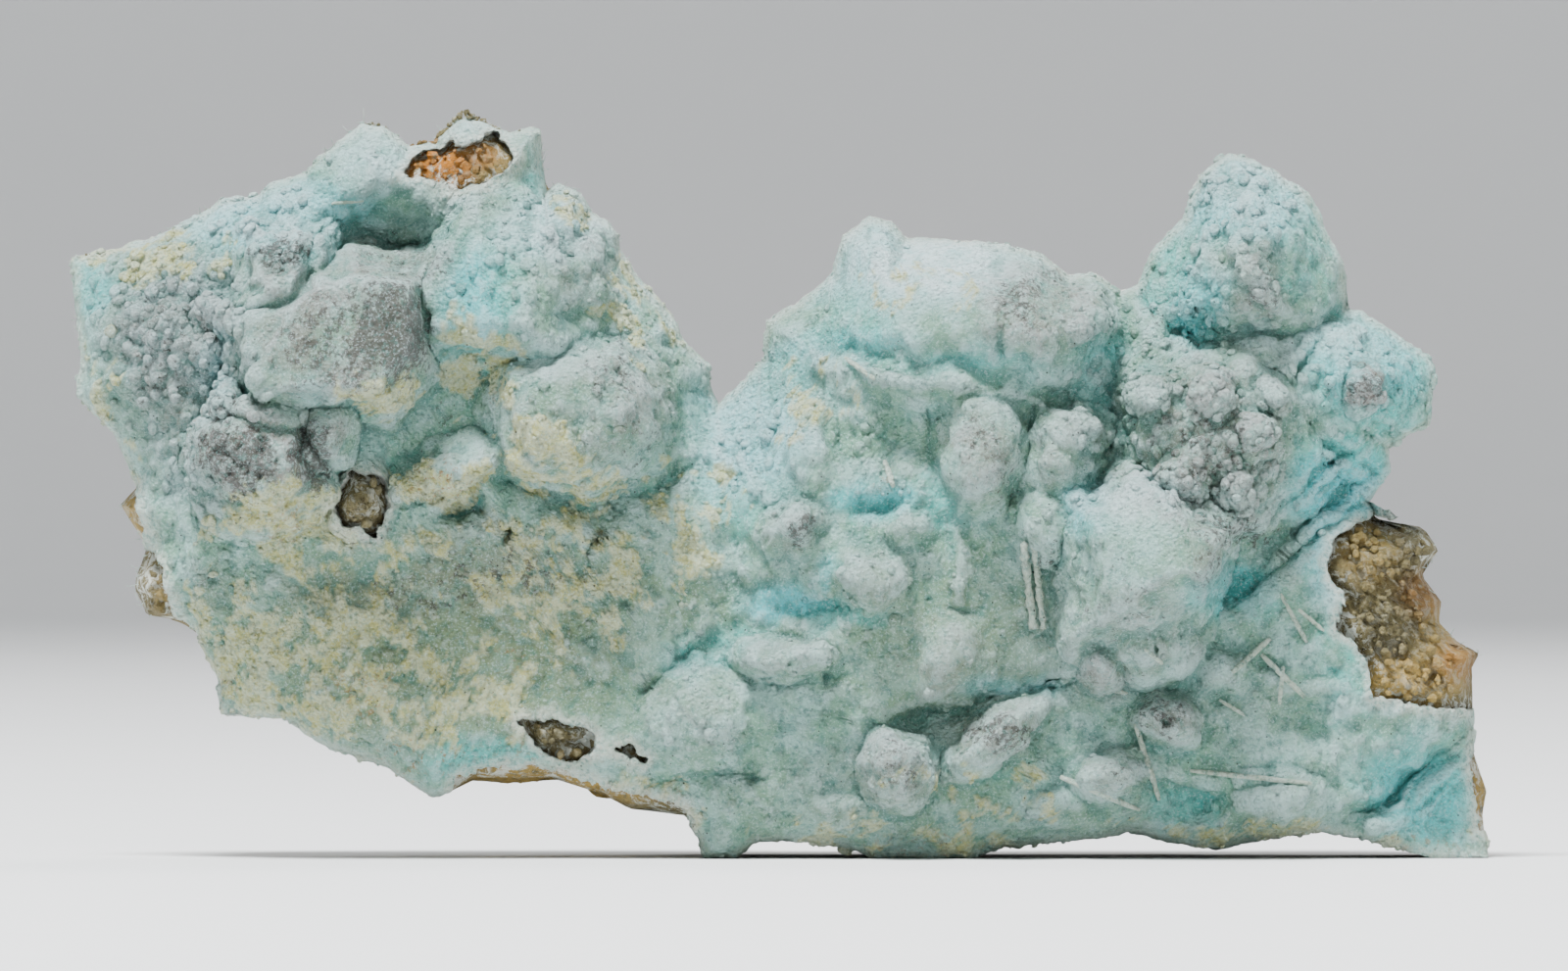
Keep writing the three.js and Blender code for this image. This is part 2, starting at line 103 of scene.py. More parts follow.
# The outline seen from the front, [x, z], as four edges
TOP_EDGE = [
    [-72.2, 61.2], [-67.9, 61.9], [-62.0, 64.0], [-57.0, 67.0], [-53.2, 67.6], [-51.9, 68.8],
    [-48.3, 70.0], [-47.2, 71.5], [-42.6, 74.8], [-40.4, 74.6], [-37.9, 72.5], [-35.2, 72.9],
    [-34.8, 73.7], [-32.2, 75.6], [-29.4, 74.6], [-27.8, 73.8], [-25.3, 74.6], [-24.5, 74.2],
    [-24.4, 72.0], [-24.2, 68.5], [-24.0, 67.4], [-22.6, 68.7], [-20.4, 67.6], [-19.2, 65.5],
    [-17.6, 65.0], [-16.6, 63.7], [-16.4, 62.0], [-13.8, 58.1], [-10.6, 54.5], [-10.0, 52.8],
    [-7.5, 50.3], [-7.1, 47.5], [-6.4, 46.2], [-4.2, 48.1], [-1.6, 50.9], [-1.4, 54.8],
    [1.8, 56.5], [5.3, 59.6], [6.4, 63.3], [9.1, 65.5], [11.3, 64.9], [12.8, 63.2],
    [20.5, 62.9], [26.6, 61.6], [29.6, 59.5], [32.2, 59.7], [34.8, 57.8], [36.6, 58.4],
    [38.1, 61.9], [41.1, 65.1], [42.9, 69.7], [46.0, 71.7], [50.1, 70.4], [53.9, 67.6],
    [57.5, 60.5], [57.8, 56.0], [59.5, 55.5], [62.6, 53.6], [66.3, 51.1],
]
BOTTOM_EDGE = [
    [-56.4, 14.5], [-50.7, 14.3], [-45.6, 11.1], [-39.8, 9.2], [-35.5, 6.2], [-34.1, 6.5],
    [-31.4, 8.2], [-23.6, 8.2], [-18.1, 6.5], [-15.4, 5.0], [-9.6, 4.3], [-8.2, 1.8],
    [-7.6, 0], [-4.6, 0], [-2.7, 1.6], [2.6, 1.9], [7.9, 0.9], [9.9, 0], [19.5, 0],
    [22.8, 1.2], [30.7, 1.8], [35.4, 2.6], [41.6, 1.4], [44.8, 0.8], [48.9, 1.9], [55.1, 2.8],
    [61.3, 1.5], [66.6, 0], [72.1, 0],
]
LEFT_EDGE = [
    [-56.4, 14.5], [-57.4, 16.5], [-57.3, 18.0], [-59.7, 23.3], [-60.6, 24.1], [-64.7, 24.7],
    [-65.9, 27.3], [-65.8, 28.5], [-64.7, 31.7], [-67.4, 36.0], [-65.7, 37.8], [-67.9, 43.6],
    [-71.2, 46.7], [-71.7, 47.8], [-71.2, 50.0], [-71.8, 55.3], [-72.2, 61.2],
]
RIGHT_EDGE = [
    [72.1, 0], [71.8, 4.3], [72.2, 6.7], [70.8, 10.9], [70.8, 15.0], [70.7, 19.3], [71.5, 20.8],
    [69.2, 22.0], [67.3, 24.0], [67.6, 26.1], [65.6, 28.7], [67.3, 31.4], [65.7, 33.7],
    [60.4, 34.4], [60.7, 35.2], [60.0, 36.2], [62.3, 39.3], [62.0, 41.9], [64.2, 43.3],
    [66.4, 44.2], [66.7, 49.8], [66.3, 51.1],
]
WHOLE_OUTLINE = BOTTOM_EDGE + RIGHT_EDGE + TOP_EDGE[::-1] + LEFT_EDGE[::-1]

# The broad shape: soft rises and falls of the face, [x, z, half width, half height, height]
SWELLS = [
    [12, 30, 30, 26, 3.5],
    [-60, 50, 16, 22, -2.0],
    [-30, 22, 22, 12, -1.5],
    [48, 22, 16, 12, -1.5],
    [60, 8, 14, 10, -1.5],
]

# Lumps. x, z, how far forward the top is, how far it drops at its foot, the half extents
# (left, right, down, up), how flat its top is (2 is round), and its turn in degrees
LUMPS = {
    "mottled_lump": (-53.0, 40.4, 26, 9, (6.8, 7.0, 5.6, 5.6), 4.5, -8),
    "mottled_skirt": (-51.6, 36.6, 22.5, 7, (7.4, 6.8, 3.8, 5.6), 3.5, 14),
    "lump_beside_mottled": (-45.9, 43.4, 24, 8, (3.3, 3.4, 4.2, 4.2), 3, 0),
    "small_knob": (-55.8, 46.2, 22.5, 8, (1.8, 1.7, 2.4, 2.3), 2.5, 0),
    "flank_lump_high": (-62.5, 57.5, 12.5, 4, (4.6, 4.4, 3.6, 3.6), 2.4, 0),
    "flank_lump_middle": (-59.3, 51.8, 14, 5, (4.2, 4.2, 4.6, 4.4), 2.4, 0),
    "flank_lump_low": (-63.8, 44.8, 12, 4, (4.2, 4.6, 3.8, 3.8), 2.2, 0),
    "cave_mound": (-26.4, 59.2, 21.5, 8, (10.0, 8.6, 9.2, 8.8), 3.4, 26),
    "lower_mound": (-20.6, 45.2, 23.5, 8, (9.8, 9.4, 8.2, 8.6), 3.4, 0),
    "mound_shoulder": (-14.8, 48.2, 19, 8, (6.0, 5.6, 7.0, 6.4), 2.2, 0),
    "rim_over_cave": (-32.8, 66.6, 14.5, 6, (6.6, 6.4, 2.4, 5.0), 3, 14),
    "top_horn": (-26.0, 71.6, 10, 6, (1.8, 1.6, 5.0, 3.4), 2.2, 0),
    "yellow_ledge": (-34.0, 38.6, 20.5, 6, (6.0, 5.0, 1.9, 4.0), 3.5, 12),
    "sloping_facet": (-42.8, 36.6, 18, 4, (3.0, 3.8, 4.2, 4.4), 4, -12),
    "edge_knob": (-59.6, 27.4, 13.5, 4, (1.9, 1.8, 2.0, 2.0), 2.2, 0),
    "main_mound": (18.9, 56.6, 22.6, 7, (13.6, 16.0, 11.0, 8.0), 2.1, -3),
    "main_mound_end": (24.6, 55.4, 25.2, 6, (6.6, 7.4, 5.8, 5.4), 2.3, -20),
    "top_prong": (9.0, 62.6, 12, 6, (3.4, 3.8, 5.0, 4.0), 2.2, 0),
    "oval_mound": (20.5, 41.2, 23.6, 5, (4.4, 4.8, 6.4, 5.6), 2.6, -6),
    "beside_oval": (28.3, 40.4, 21.8, 5, (3.8, 3.9, 5.6, 4.8), 2.4, 6),
    "left_cup_wall": (2.6, 42.0, 19, 5, (4.5, 4.0, 6.0, 6.0), 2.2, 0),
    "pointed_bump": (1.4, 34.0, 21.2, 5, (2.8, 3.6, 3.4, 2.8), 2.2, 0),
    "round_bump": (9.0, 28.4, 21.6, 5, (4.6, 4.8, 3.8, 3.8), 2.6, 0),
    "lip_bump": (-0.4, 20.8, 21.4, 4.5, (4.4, 6.2, 2.6, 1.8), 2.6, 0),
    "smooth_mound": (17.0, 21.0, 21, 4.5, (4.2, 4.6, 5.0, 5.0), 2.2, 0),
    "fang_foot": (37.6, 22.6, 22.4, 5, (5.8, 5.0, 4.4, 4.6), 2.4, 0),
    "grey_botryoids": (42.4, 42.6, 21.5, 7, (7.6, 9.4, 9.8, 8.8), 2.3, 0),
    "grey_botryoids_foot": (45.0, 35.6, 18.6, 7, (6.0, 5.4, 3.0, 5.4), 2.4, 0),
    "cone": (47.4, 61.0, 20, 11, (9.6, 10.0, 9.6, 11.0), 2.1, 4),
    "right_lobe": (60.2, 48.6, 17, 8, (8.6, 7.0, 6.0, 6.0), 2.4, -14),
    "lobe_knob": (59.3, 47.8, 20.5, 6, (2.4, 2.5, 2.8, 2.5), 2, 0),
    "slope_bump": (32.4, 19.8, 21.5, 4, (2.2, 2.2, 2.0, 2.0), 2.2, 0),
    "thorn_bump": (39.4, 14.0, 21, 5, (3.4, 3.0, 2.4, 2.4), 2.4, 0),
    "low_bump": (33.8, 8.6, 20, 5, (4.4, 4.4, 3.0, 2.4), 2.4, 0),
    "fish_head": (11.4, 9.4, 22.6, 6, (2.9, 4.4, 4.2, 4.2), 2.8, -22),
    "slant_ridge": (21.9, 12.6, 22.6, 5.5, (6.2, 6.0, 2.6, 2.2), 2.6, 36),
    "pale_mound": (-7.4, 14.6, 18.8, 6, (8.0, 8.4, 6.6, 6.0), 2.1, 10),
    "low_lobe": (51.0, 5.8, 18.5, 6, (5.4, 5.4, 3.8, 3.2), 2.6, 0),
}

# Hollows. x, z, how far forward the floor is, how far the side rises, half extents, flatness, turn
HOLLOWS = {
    "cave": (-39.4, 60.8, 4.6, 9, (10.6, 6.6, 5.0, 7.0), 1.6, 12),
    "under_mottled": (-41.6, 28.8, 13.5, 3, (8.0, 8.0, 4.0, 3.6), 2, 0),
    "under_ledge": (-32.6, 35.2, 11.5, 6, (3.0, 3.0, 1.6, 1.6), 2, 10),
    "cup": (10.4, 43.0, 16.5, 4, (6.2, 5.4, 4.2, 4.6), 2.2, 0),
    "blue_hollow": (9.6, 35.8, 16.8, 4.5, (4.0, 3.6, 1.9, 2.4), 2, 0),
    "low_blue_hollow": (3.9, 25.4, 16, 4, (5.4, 4.4, 2.0, 2.4), 2, 0),
    "between_ridges": (16.0, 14.2, 14.5, 5, (4.2, 4.4, 3.0, 2.2), 2, 0),
    "right_hollow": (53.4, 13.6, 13, 3.5, (4.8, 4.8, 3.2, 3.2), 2, 0),
    "teal_hollow": (41.4, 5.6, 12, 5, (5.6, 5.0, 2.2, 2.6), 2.2, 0),
    "fold_floor": (67.4, 4.6, 9.5, 6, (8.0, 7.0, 6.0, 8.4), 3, 32),
}

# Angular lumps bounded by planes, each plane (x, z and how far forward it is there, slopes along x and z)
BLOCKS = {
    "cave_mound_edge": [
        (-30.0, 60.0, 20.8, 0.22, -0.22), (-33.7, 61.9, 19.6, 3.1, -2.2), (-27.0, 66.6, 18.0, 0.0, -1.2),
        (-23.0, 58.0, 20.6, -0.9, 0.0), (-31.0, 53.0, 20.6, 0.2, 1.2), (-36.2, 57.0, 19.0, 3.0, 0.4),
    ],
    "grey_block": [
        (-43.6, 53.0, 27.2, 0.06, -0.14), (-48.6, 53.0, 26.8, 0.65, -0.2), (-43.0, 58.3, 26.0, -0.1, -4.2),
        (-37.4, 53.4, 26.4, -4.4, -0.3), (-39.0, 49.0, 25.8, -2.6, 2.0), (-46.0, 47.2, 25.6, 0.1, 3.0),
        (-53.6, 51.0, 23.0, 3.6, 0.9), (-51.6, 56.2, 23.6, 1.8, -2.4),
    ],
    "lump_above_block": [
        (-50.4, 60.0, 24.0, 0.1, -0.3), (-52.9, 60.0, 22.6, 3.6, -0.2), (-48.6, 60.0, 23.4, -3.6, -0.1),
        (-50.4, 63.0, 22.6, 0.0, -4.0), (-50.4, 56.4, 23.0, 0.0, 1.0),
    ],
    "behind_lump": [
        (-47.4, 61.0, 20.4, -0.3, -0.2), (-46.5, 60.4, 19.8, -4.4, -0.4), (-47.4, 62.9, 19.4, -0.2, -4.0),
        (-49.4, 61.0, 20.2, 1.4, 0.0), (-47.2, 58.0, 20.6, 0.0, 1.0),
    ],
    "fang": [
        (38.0, 32.6, 28.6, 0.16, -0.5), (36.0, 28.6, 28.8, 0.42, 0.06), (41.4, 30.6, 29.4, -0.5, -0.2),
        (43.3, 30.4, 28.8, -5.0, 2.0), (33.6, 36.4, 25.6, 0.6, -2.6), (39.6, 34.8, 28.2, -1.4, -3.0),
        (37.6, 26.6, 27.6, -0.6, 2.0), (32.2, 29.6, 26.0, 1.8, 0.1),
    ],
}
BLOCK_BLEND = 0.9

# Creases (negative) and ribs (positive): the points they run through, half width, height
LINES = {
    "valley_from_notch": ([[-6.1, 46.5], [-5.8, 31.5], [-4.0, 24.5]], 9, -3),
    "under_lower_mound": ([[-27, 38.2], [-18.6, 35.4], [-11.0, 39.2]], 2.6, -2.4),
    "above_main_ridge": ([[8.0, 50.4], [20.4, 48.8], [29.4, 46.6]], 3, -1.0),
    "main_ridge": ([[4.4, 50.0], [13.4, 48.2], [24.4, 47.2], [31.0, 43.6]], 3, 2.5),
    "beside_main_mound": ([[35.6, 57.5], [34.0, 47.5], [31.8, 37.5]], 3.2, -2.6),
    "behind_fang": ([[45.4, 27.5], [51.4, 33.0], [62.4, 40.6]], 4.0, -3.4),
    "under_cone": ([[40.4, 53.6], [50.4, 53.0], [57.9, 55.4]], 2.4, -3),
    "cone_rib": ([[46.4, 64.6], [46.9, 61.6], [48.0, 59.2], [50.4, 56.4]], 1.3, 1.6),
    "crack_over_ridge": ([[12.6, 13.4], [21.4, 16.2], [28.4, 18.8]], 2.6, -1.8),
    "pale_mound_foot": ([[-12.8, 7.8], [-2.4, 8.8]], 2.4, -1.2),
    "fold_crease": ([[70.6, 15.0], [65.9, 8.8], [57.6, 3.2]], 2.2, -3),
    "fold_rib": ([[68.0, 9.0], [60.6, 3.2]], 1.6, 2),
}

# Finer lumps, creases and ribs, written in the same two ways, which the solids don't hold
FINE_LUMPS = {
    "mottled_brow": (-52.0, 45.0, 25.5, 4, (4.0, 4.4, 1.6, 1.4), 2.4, -8),
    "mottled_left": (-57.2, 40.4, 22.5, 5, (2.4, 2.6, 4.0, 3.4), 2.4, 0),
    "flank_a": (-56.6, 60.4, 13.5, 3, (2.6, 2.6, 2.2, 2.2), 2.2, 0),
    "flank_b": (-66.4, 52.6, 10.5, 3, (2.4, 2.4, 2.8, 2.6), 2.2, 0),
    "flank_c": (-61.8, 48.0, 14.0, 3, (2.0, 2.2, 2.2, 2.0), 2.2, 0),
    "flank_d": (-57.6, 55.8, 15.5, 4, (2.2, 2.0, 2.4, 2.2), 2.2, 0),
    "flank_e": (-60.6, 33.6, 13.5, 2.5, (2.6, 2.8, 2.4, 2.4), 2.2, 0),
    "cave_mound_cheek": (-19.6, 60.2, 21.0, 5, (3.6, 3.4, 4.4, 4.0), 2.4, 20),
    "cave_mound_nose": (-29.4, 55.0, 20.5, 5, (3.6, 3.4, 3.6, 3.6), 2.3, 0),
    "lower_mound_cheek": (-15.8, 46.0, 23.2, 5, (3.6, 3.4, 4.6, 4.0), 2.4, -10),
    "lower_mound_nose": (-23.8, 42.4, 23.6, 5, (4.4, 4.4, 4.0, 4.0), 2.4, 0),
    "ledge_tip": (-30.4, 40.6, 20.4, 4, (2.6, 2.4, 1.6, 2.4), 2.6, 0),
    "mound_end_top": (30.6, 55.0, 23.5, 5, (2.6, 2.6, 3.4, 3.2), 2.3, 0),
    "valley_bump_high": (-1.0, 43.2, 15.8, 2.5, (2.2, 2.4, 2.4, 2.4), 2.2, 0),
    "valley_bump_low": (-2.6, 29.4, 17.2, 2.5, (2.6, 2.6, 2.4, 2.4), 2.2, 0),
    "right_of_oval_low": (27.0, 33.6, 22.0, 3, (3.0, 3.0, 3.6, 3.2), 2.4, 0),
    "centre_cheek": (12.8, 33.4, 20.6, 3, (2.4, 2.8, 2.0, 2.0), 2.3, 0),
    "fang_cheek": (36.4, 27.0, 27.5, 5, (3.2, 3.2, 4.0, 4.4), 2.4, 0),
    "grey_knob_a": (38.4, 46.6, 22.5, 4, (2.2, 2.2, 2.0, 2.0), 2.1, 0),
    "grey_knob_b": (43.6, 47.4, 22.8, 4, (2.2, 2.2, 2.2, 2.0), 2.1, 0),
    "grey_knob_c": (47.6, 42.8, 22.4, 4, (2.2, 2.2, 2.4, 2.2), 2.1, 0),
    "grey_knob_d": (41.2, 39.4, 24.0, 4, (2.4, 2.4, 2.2, 2.2), 2.1, 0),
    "grey_knob_e": (46.4, 37.0, 21.8, 4, (2.2, 2.2, 2.0, 2.0), 2.1, 0),
    "grey_knob_f": (50.0, 46.8, 19.5, 4, (1.8, 1.8, 2.0, 1.8), 2.1, 0),
    "lobe_brow": (63.4, 50.0, 15.5, 3, (2.6, 2.2, 2.0, 1.8), 2.2, 0),
    "edge_below_lobe": (61.0, 42.4, 14.0, 3, (2.0, 2.0, 1.8, 1.8), 2.2, 0),
    "slope_grain_a": (44.4, 19.0, 16.5, 2, (2.4, 2.4, 1.8, 1.8), 2.2, 0),
    "slope_grain_b": (55.6, 21.6, 14.6, 2, (3.0, 3.0, 2.6, 2.6), 2.2, 0),
    "bottom_swell": (5.6, 4.8, 17.0, 3, (5.0, 5.0, 2.2, 2.0), 2.4, 0),
    "bottom_swell_right": (27.8, 5.4, 16.4, 3, (4.0, 4.4, 2.4, 2.0), 2.4, 0),
}
FINE_LINES = {
    "cave_lip": ([[-46.0, 63.4], [-42.0, 65.4], [-36.0, 65.6]], 1.4, -0.5),
    "block_groove": ([[-53.6, 54.6], [-49.6, 57.2], [-47.8, 59.6]], 0.9, -1.2),
    "block_edge": ([[-48.4, 58.0], [-50.4, 52.4], [-52.4, 48.6]], 0.8, 0.5),
    "band_rib_high": ([[52.4, 36.0], [56.6, 39.8], [61.4, 42.8]], 0.7, 0.9),
    "band_rib_low": ([[50.6, 30.2], [54.6, 33.8], [59.6, 37.0]], 0.8, 0.9),
    "band_gully_low": ([[47.0, 26.4], [52.4, 30.4], [56.4, 33.6]], 0.8, -0.9),
    "band_gully_high": ([[49.4, 34.6], [54.4, 39.4], [60.0, 42.8]], 0.6, -0.9),
    "slab_fold_left": ([[-51.4, 28.0], [-46.0, 24.4], [-43.4, 18.4]], 1.2, 0.6),
    "slab_fold_right": ([[-30.0, 26.6], [-24.6, 22.0], [-14.4, 18.4]], 1.4, 0.6),
    "valley_step": ([[-8.4, 41.4], [-3.4, 39.6], [-0.6, 36.8]], 1.0, 0.6),
    "centre_thread": ([[17.8, 33.6], [19.2, 29.4], [18.2, 26.4]], 0.9, 0.6),
    "needle_bed": ([[44.4, 20.6], [51.4, 17.4], [57.6, 18.0]], 1.0, 0.5),
    "mottled_groove": ([[-49.4, 46.2], [-48.8, 41.0], [-46.0, 37.4]], 0.8, -1.6),
    "slab_crack": ([[-17.1, 34.5], [-18.8, 32.2], [-19.6, 31.0]], 0.4, -0.8),
    "mound_seam": ([[-30.2, 49.6], [-24.0, 50.8], [-17.0, 52.6]], 1.8, -1.3),
    "ridge_thread": ([[6.6, 50.9], [9.4, 48.9], [13.2, 48.4]], 0.7, 0.9),
    "ridge_step": ([[13.2, 48.4], [24.4, 47.4], [30.8, 43.6]], 0.8, 0.7),
    "mound_end_crease": ([[21.8, 60.2], [23.4, 56.2], [22.4, 51.8]], 1.4, -1.2),
    "oval_left_crease": ([[15.0, 46.4], [15.6, 40.6], [17.4, 35.4]], 0.8, -0.8),
    "oval_right_crease": ([[25.4, 46.0], [24.8, 39.8], [23.4, 35.6]], 1.0, -1.4),
    "lip_shadow": ([[-5.4, 19.0], [-0.4, 18.2], [5.2, 18.8]], 1.6, -0.7),
    "lip_crack": ([[17.4, 25.6], [19.4, 25.2], [21.2, 24.8], [22.0, 23.6]], 0.4, -0.7),
    "crack_left": ([[12.6, 14.6], [17.0, 15.2], [21.6, 16.4]], 0.8, -0.8),
    "crack_right": ([[21.4, 16.4], [23.8, 17.6], [26.0, 18.2], [28.2, 19.0]], 0.55, -1.6),
    "pale_crease": ([[-14.2, 17.6], [-9.6, 20.4], [-6.6, 22.2]], 1.4, -0.8),
    "bottom_crease": ([[-14.0, 7.6], [-8.6, 8.8], [-1.6, 8.0]], 1.2, -0.6),
    "cone_seam": ([[41.0, 59.6], [43.4, 63.4], [45.4, 68.2]], 1.2, -0.8),
    "cone_foot": ([[36.8, 57.0], [39.6, 54.0], [43.0, 51.8]], 1.2, -1.4),
    "lobe_fold": ([[52.4, 50.2], [55.4, 52.4], [58.8, 54.2]], 1.0, -1.2),
    "lobe_gully": ([[53.8, 44.2], [57.0, 41.6], [60.6, 39.4]], 1.3, -1.6),
    "band_gully": ([[52.2, 32.8], [56.0, 36.4], [60.4, 39.0]], 0.9, -1.2),
    "flap_edge": ([[58.4, 3.6], [62.8, 5.2], [66.0, 8.8], [70.4, 12.6]], 0.5, 0.9),
    "flap_lip": ([[59.8, 2.4], [66.2, 5.2], [71.4, 10.2]], 0.5, 0.8),
    "flap_tongue": ([[46.6, 8.2], [50.6, 8.8], [55.0, 7.6]], 0.8, 0.8),
}

# Small round pits, [x, z, radius, depth]
PITS = [
    [-57.2, 28.5, 0.8, 1.6], [-27.5, 32.5, 1.1, 2.6], [-30.4, 36.2, 1.4, 2.2], [-17.6, 36.0, 1.0, 1.8],
    [39.2, 13.8, 0.6, 1.3], [36.2, 17.0, 0.4, 0.9], [38.2, 21.6, 0.5, 1.0], [15.2, 26.6, 0.5, 0.9],
    [26.2, 22.6, 0.5, 0.9], [-34.6, 41.4, 0.8, 1.4], [-44.4, 32.8, 0.9, 1.4], [4.6, 18.8, 0.7, 1.2],
]

# Where the crust is pitted: x, z, half width, half height, how many pits, the largest radius
PITTED_PLACES = [
    (-54.6, 40.6, 4.6, 3.6, 26, 0.75), (-47.6, 42.4, 2.4, 3.6, 12, 0.6), (-39.8, 54.4, 3.0, 3.4, 16, 0.5),
    (-51.0, 61.4, 1.8, 1.2, 7, 0.45), (44.0, 33.0, 5.0, 2.0, 8, 0.45), (24.4, 56.2, 3.0, 2.4, 6, 0.4),
    (21.6, 12.8, 3.4, 1.6, 8, 0.4), (-34.0, 17.0, 16.0, 6.0, 18, 0.4), (10.0, 20.0, 12.0, 8.0, 10, 0.35),
]

# How deep a scattered pit is, in radii
PIT_DEPTH = 1.3
# Where the crust has broken off and the rock shows, as outlines [x, z]
BROKEN_PATCHES = {
    "top": [[-38.6, 69.4], [-37.2, 71.6], [-32.6, 72.8], [-28.6, 73.6], [-27.0, 71.6], [-27.2, 70.0],
            [-30.0, 68.8], [-33.4, 67.8], [-35.2, 69.2]],
    "facet": [[-45.4, 36.0], [-43.4, 39.4], [-40.4, 38.6], [-39.6, 36.2], [-41.4, 32.8], [-44.6, 34.0]],
    "bottom": [[-26.6, 14.2], [-24.0, 14.4], [-19.2, 13.4], [-18.4, 11.4], [-21.8, 9.9], [-25.0, 11.4]],
    "bottom_small": [[-17.0, 11.4], [-15.0, 11.6], [-13.6, 10.2], [-15.4, 9.9]],
    "bottom_rim": [[-33, 8.6], [-28, 9.3], [-22, 9.0], [-15.6, 7.0], [-9.4, 5.2], [-8.8, 3], [-34, 3]],
    "left_high": [[-75, 38.6], [-65.8, 38.4], [-65.0, 35.4], [-64.0, 31.9], [-75, 31]],
    "left_low": [[-75, 31.4], [-63.8, 31.8], [-62.6, 28.0], [-61.6, 25.0], [-60.0, 22.4], [-75, 20]],
    "right": [[58.6, 33.8], [56.0, 32.4], [55.6, 29.4], [57.4, 26.4], [56.8, 23.6], [59.6, 20.4],
              [60.2, 16.4], [66.0, 15.4], [76, 14.6], [76, 34.9], [61.0, 34.9]],
    "right_strip": [[70.8, 11.2], [70.4, 8.6], [71.0, 5.2], [71.2, 2.6], [76, 2], [76, 12]],
}
PATCH_RAGGEDNESS = 0.55
PATCH_BULGE = 1.7

# Where round bubbles of crust grow, and how large: [x, z, half width, half height, height of the bubbles]
BUBBLES = {
    0.95: [
        [-53, 64, 11, 4.6, 0.34], [-66, 59, 6, 4, 0.24], [-2, 41, 6, 8, 0.26], [9, 43, 7, 6, 0.32],
        [47, 66, 9, 7, 0.34], [57, 50, 10, 6, 0.28], [57, 36, 6, 6, 0.26], [41, 6, 7, 3, 0.30],
        [9, 27, 7, 5, 0.26], [-31, 56, 5, 7, 0.26], [26, 50, 9, 4, 0.16], [-8, 13, 9, 7, 0.14],
        [-30, 10, 10, 4, 0.16], [24, 6, 10, 4, 0.14], [-20, 17, 9, 6, 0.12],
    ],
    1.5: [
        [-61, 53, 10, 11, 0.50], [-61, 40, 6, 8, 0.32], [-25, 62, 8, 8, 0.36], [45, 58, 9, 8, 0.36],
        [33, 53, 6, 6, 0.30], [-57, 33, 6, 6, 0.22], [60, 46, 8, 6, 0.26], [-20, 46, 10, 9, 0.22],
        [36, 44, 6, 8, 0.34],
    ],
    2.3: [
        [-60, 50, 10, 10, 0.50], [44, 42, 9, 11, 0.70], [33, 44, 5, 9, 0.40], [-22, 58, 9, 9, 0.24],
        [42, 55, 6, 5, 0.34], [-59, 38, 6, 9, 0.30],
    ],
    4.0: [
        [-61, 52, 11, 11, 0.95], [-59, 41, 5, 6, 0.5], [43, 41, 9, 10, 1.0], [33, 46, 5, 9, 0.6],
        [41, 55, 6, 5, 0.5], [-58, 30, 6, 5, 0.4], [60, 49, 8, 6, 0.4],
    ],
}

# Where crumbly pale yellow films lie on the crust, [x, z, half width, half height, strength]
CREAM_ZONES = [
    [-40, 47.4, 5, 3.2, 0.75], [-50, 35.6, 8, 4.4, 0.85], [-34.2, 38.6, 6.6, 2.8, 1.0],
    [-40, 18, 17, 9, 0.62], [-53, 20, 6, 8, 0.7], [-22, 29, 12, 9, 0.58], [-10, 34, 7, 7, 0.45],
    [-24, 41, 6, 4.4, 0.7], [-31, 51, 5, 6, 0.55], [60, 1.2, 14, 2.4, 0.6], [12, 2.4, 16, 2.6, 0.45],
    [-57, 25, 4, 8, 0.5], [-12, 5.6, 6, 2.4, 0.5], [-64, 61, 9, 2.6, 0.45], [4, 46, 5, 5, 0.35],
    [14, 58, 7, 3, 0.25], [-45, 30, 9, 4, 0.5], [-68, 47, 3, 12, 0.45], [18, 6, 10, 4, 0.3],
    [-14, 56, 5, 5, 0.45], [-21.6, 66.8, 2.4, 2.2, 0.9], [-51.6, 33.8, 6.4, 2.0, 1.0],
    [-44, 21, 12, 7, 0.7], [-30, 15.6, 9, 4, 0.6], [-52, 17.6, 6, 3.4, 0.8], [-18, 24.6, 7, 4, 0.5],
    [-40, 45.6, 4, 2.0, 0.9], [-20, 38.4, 7, 2, 0.7], [-38, 31, 7, 2.4, 0.5], [50, 2.6, 16, 1.6, 0.6],
]
OCHRE_ZONES = [
    [-34.4, 38.4, 5, 2, 0.8], [-42, 17.4, 5, 3, 0.55], [-36, 10.4, 7, 2.4, 0.7], [-27.5, 21, 3, 3, 0.5],
    [-60, 45, 3, 3, 0.3], [-24, 11, 8, 3, 0.5], [-12.6, 5, 4, 2, 0.8], [26.3, 22.2, 1.4, 1.4, 0.8],
    [-50, 34, 5, 3, 0.45], [-56.5, 17, 2, 3, 0.6], [64, 1.4, 7, 1.6, 0.55], [15, 1.6, 8, 2, 0.4],
    [11.0, 39.0, 1.4, 2.0, 0.5], [-28, 46, 2, 2, 0.4],
]
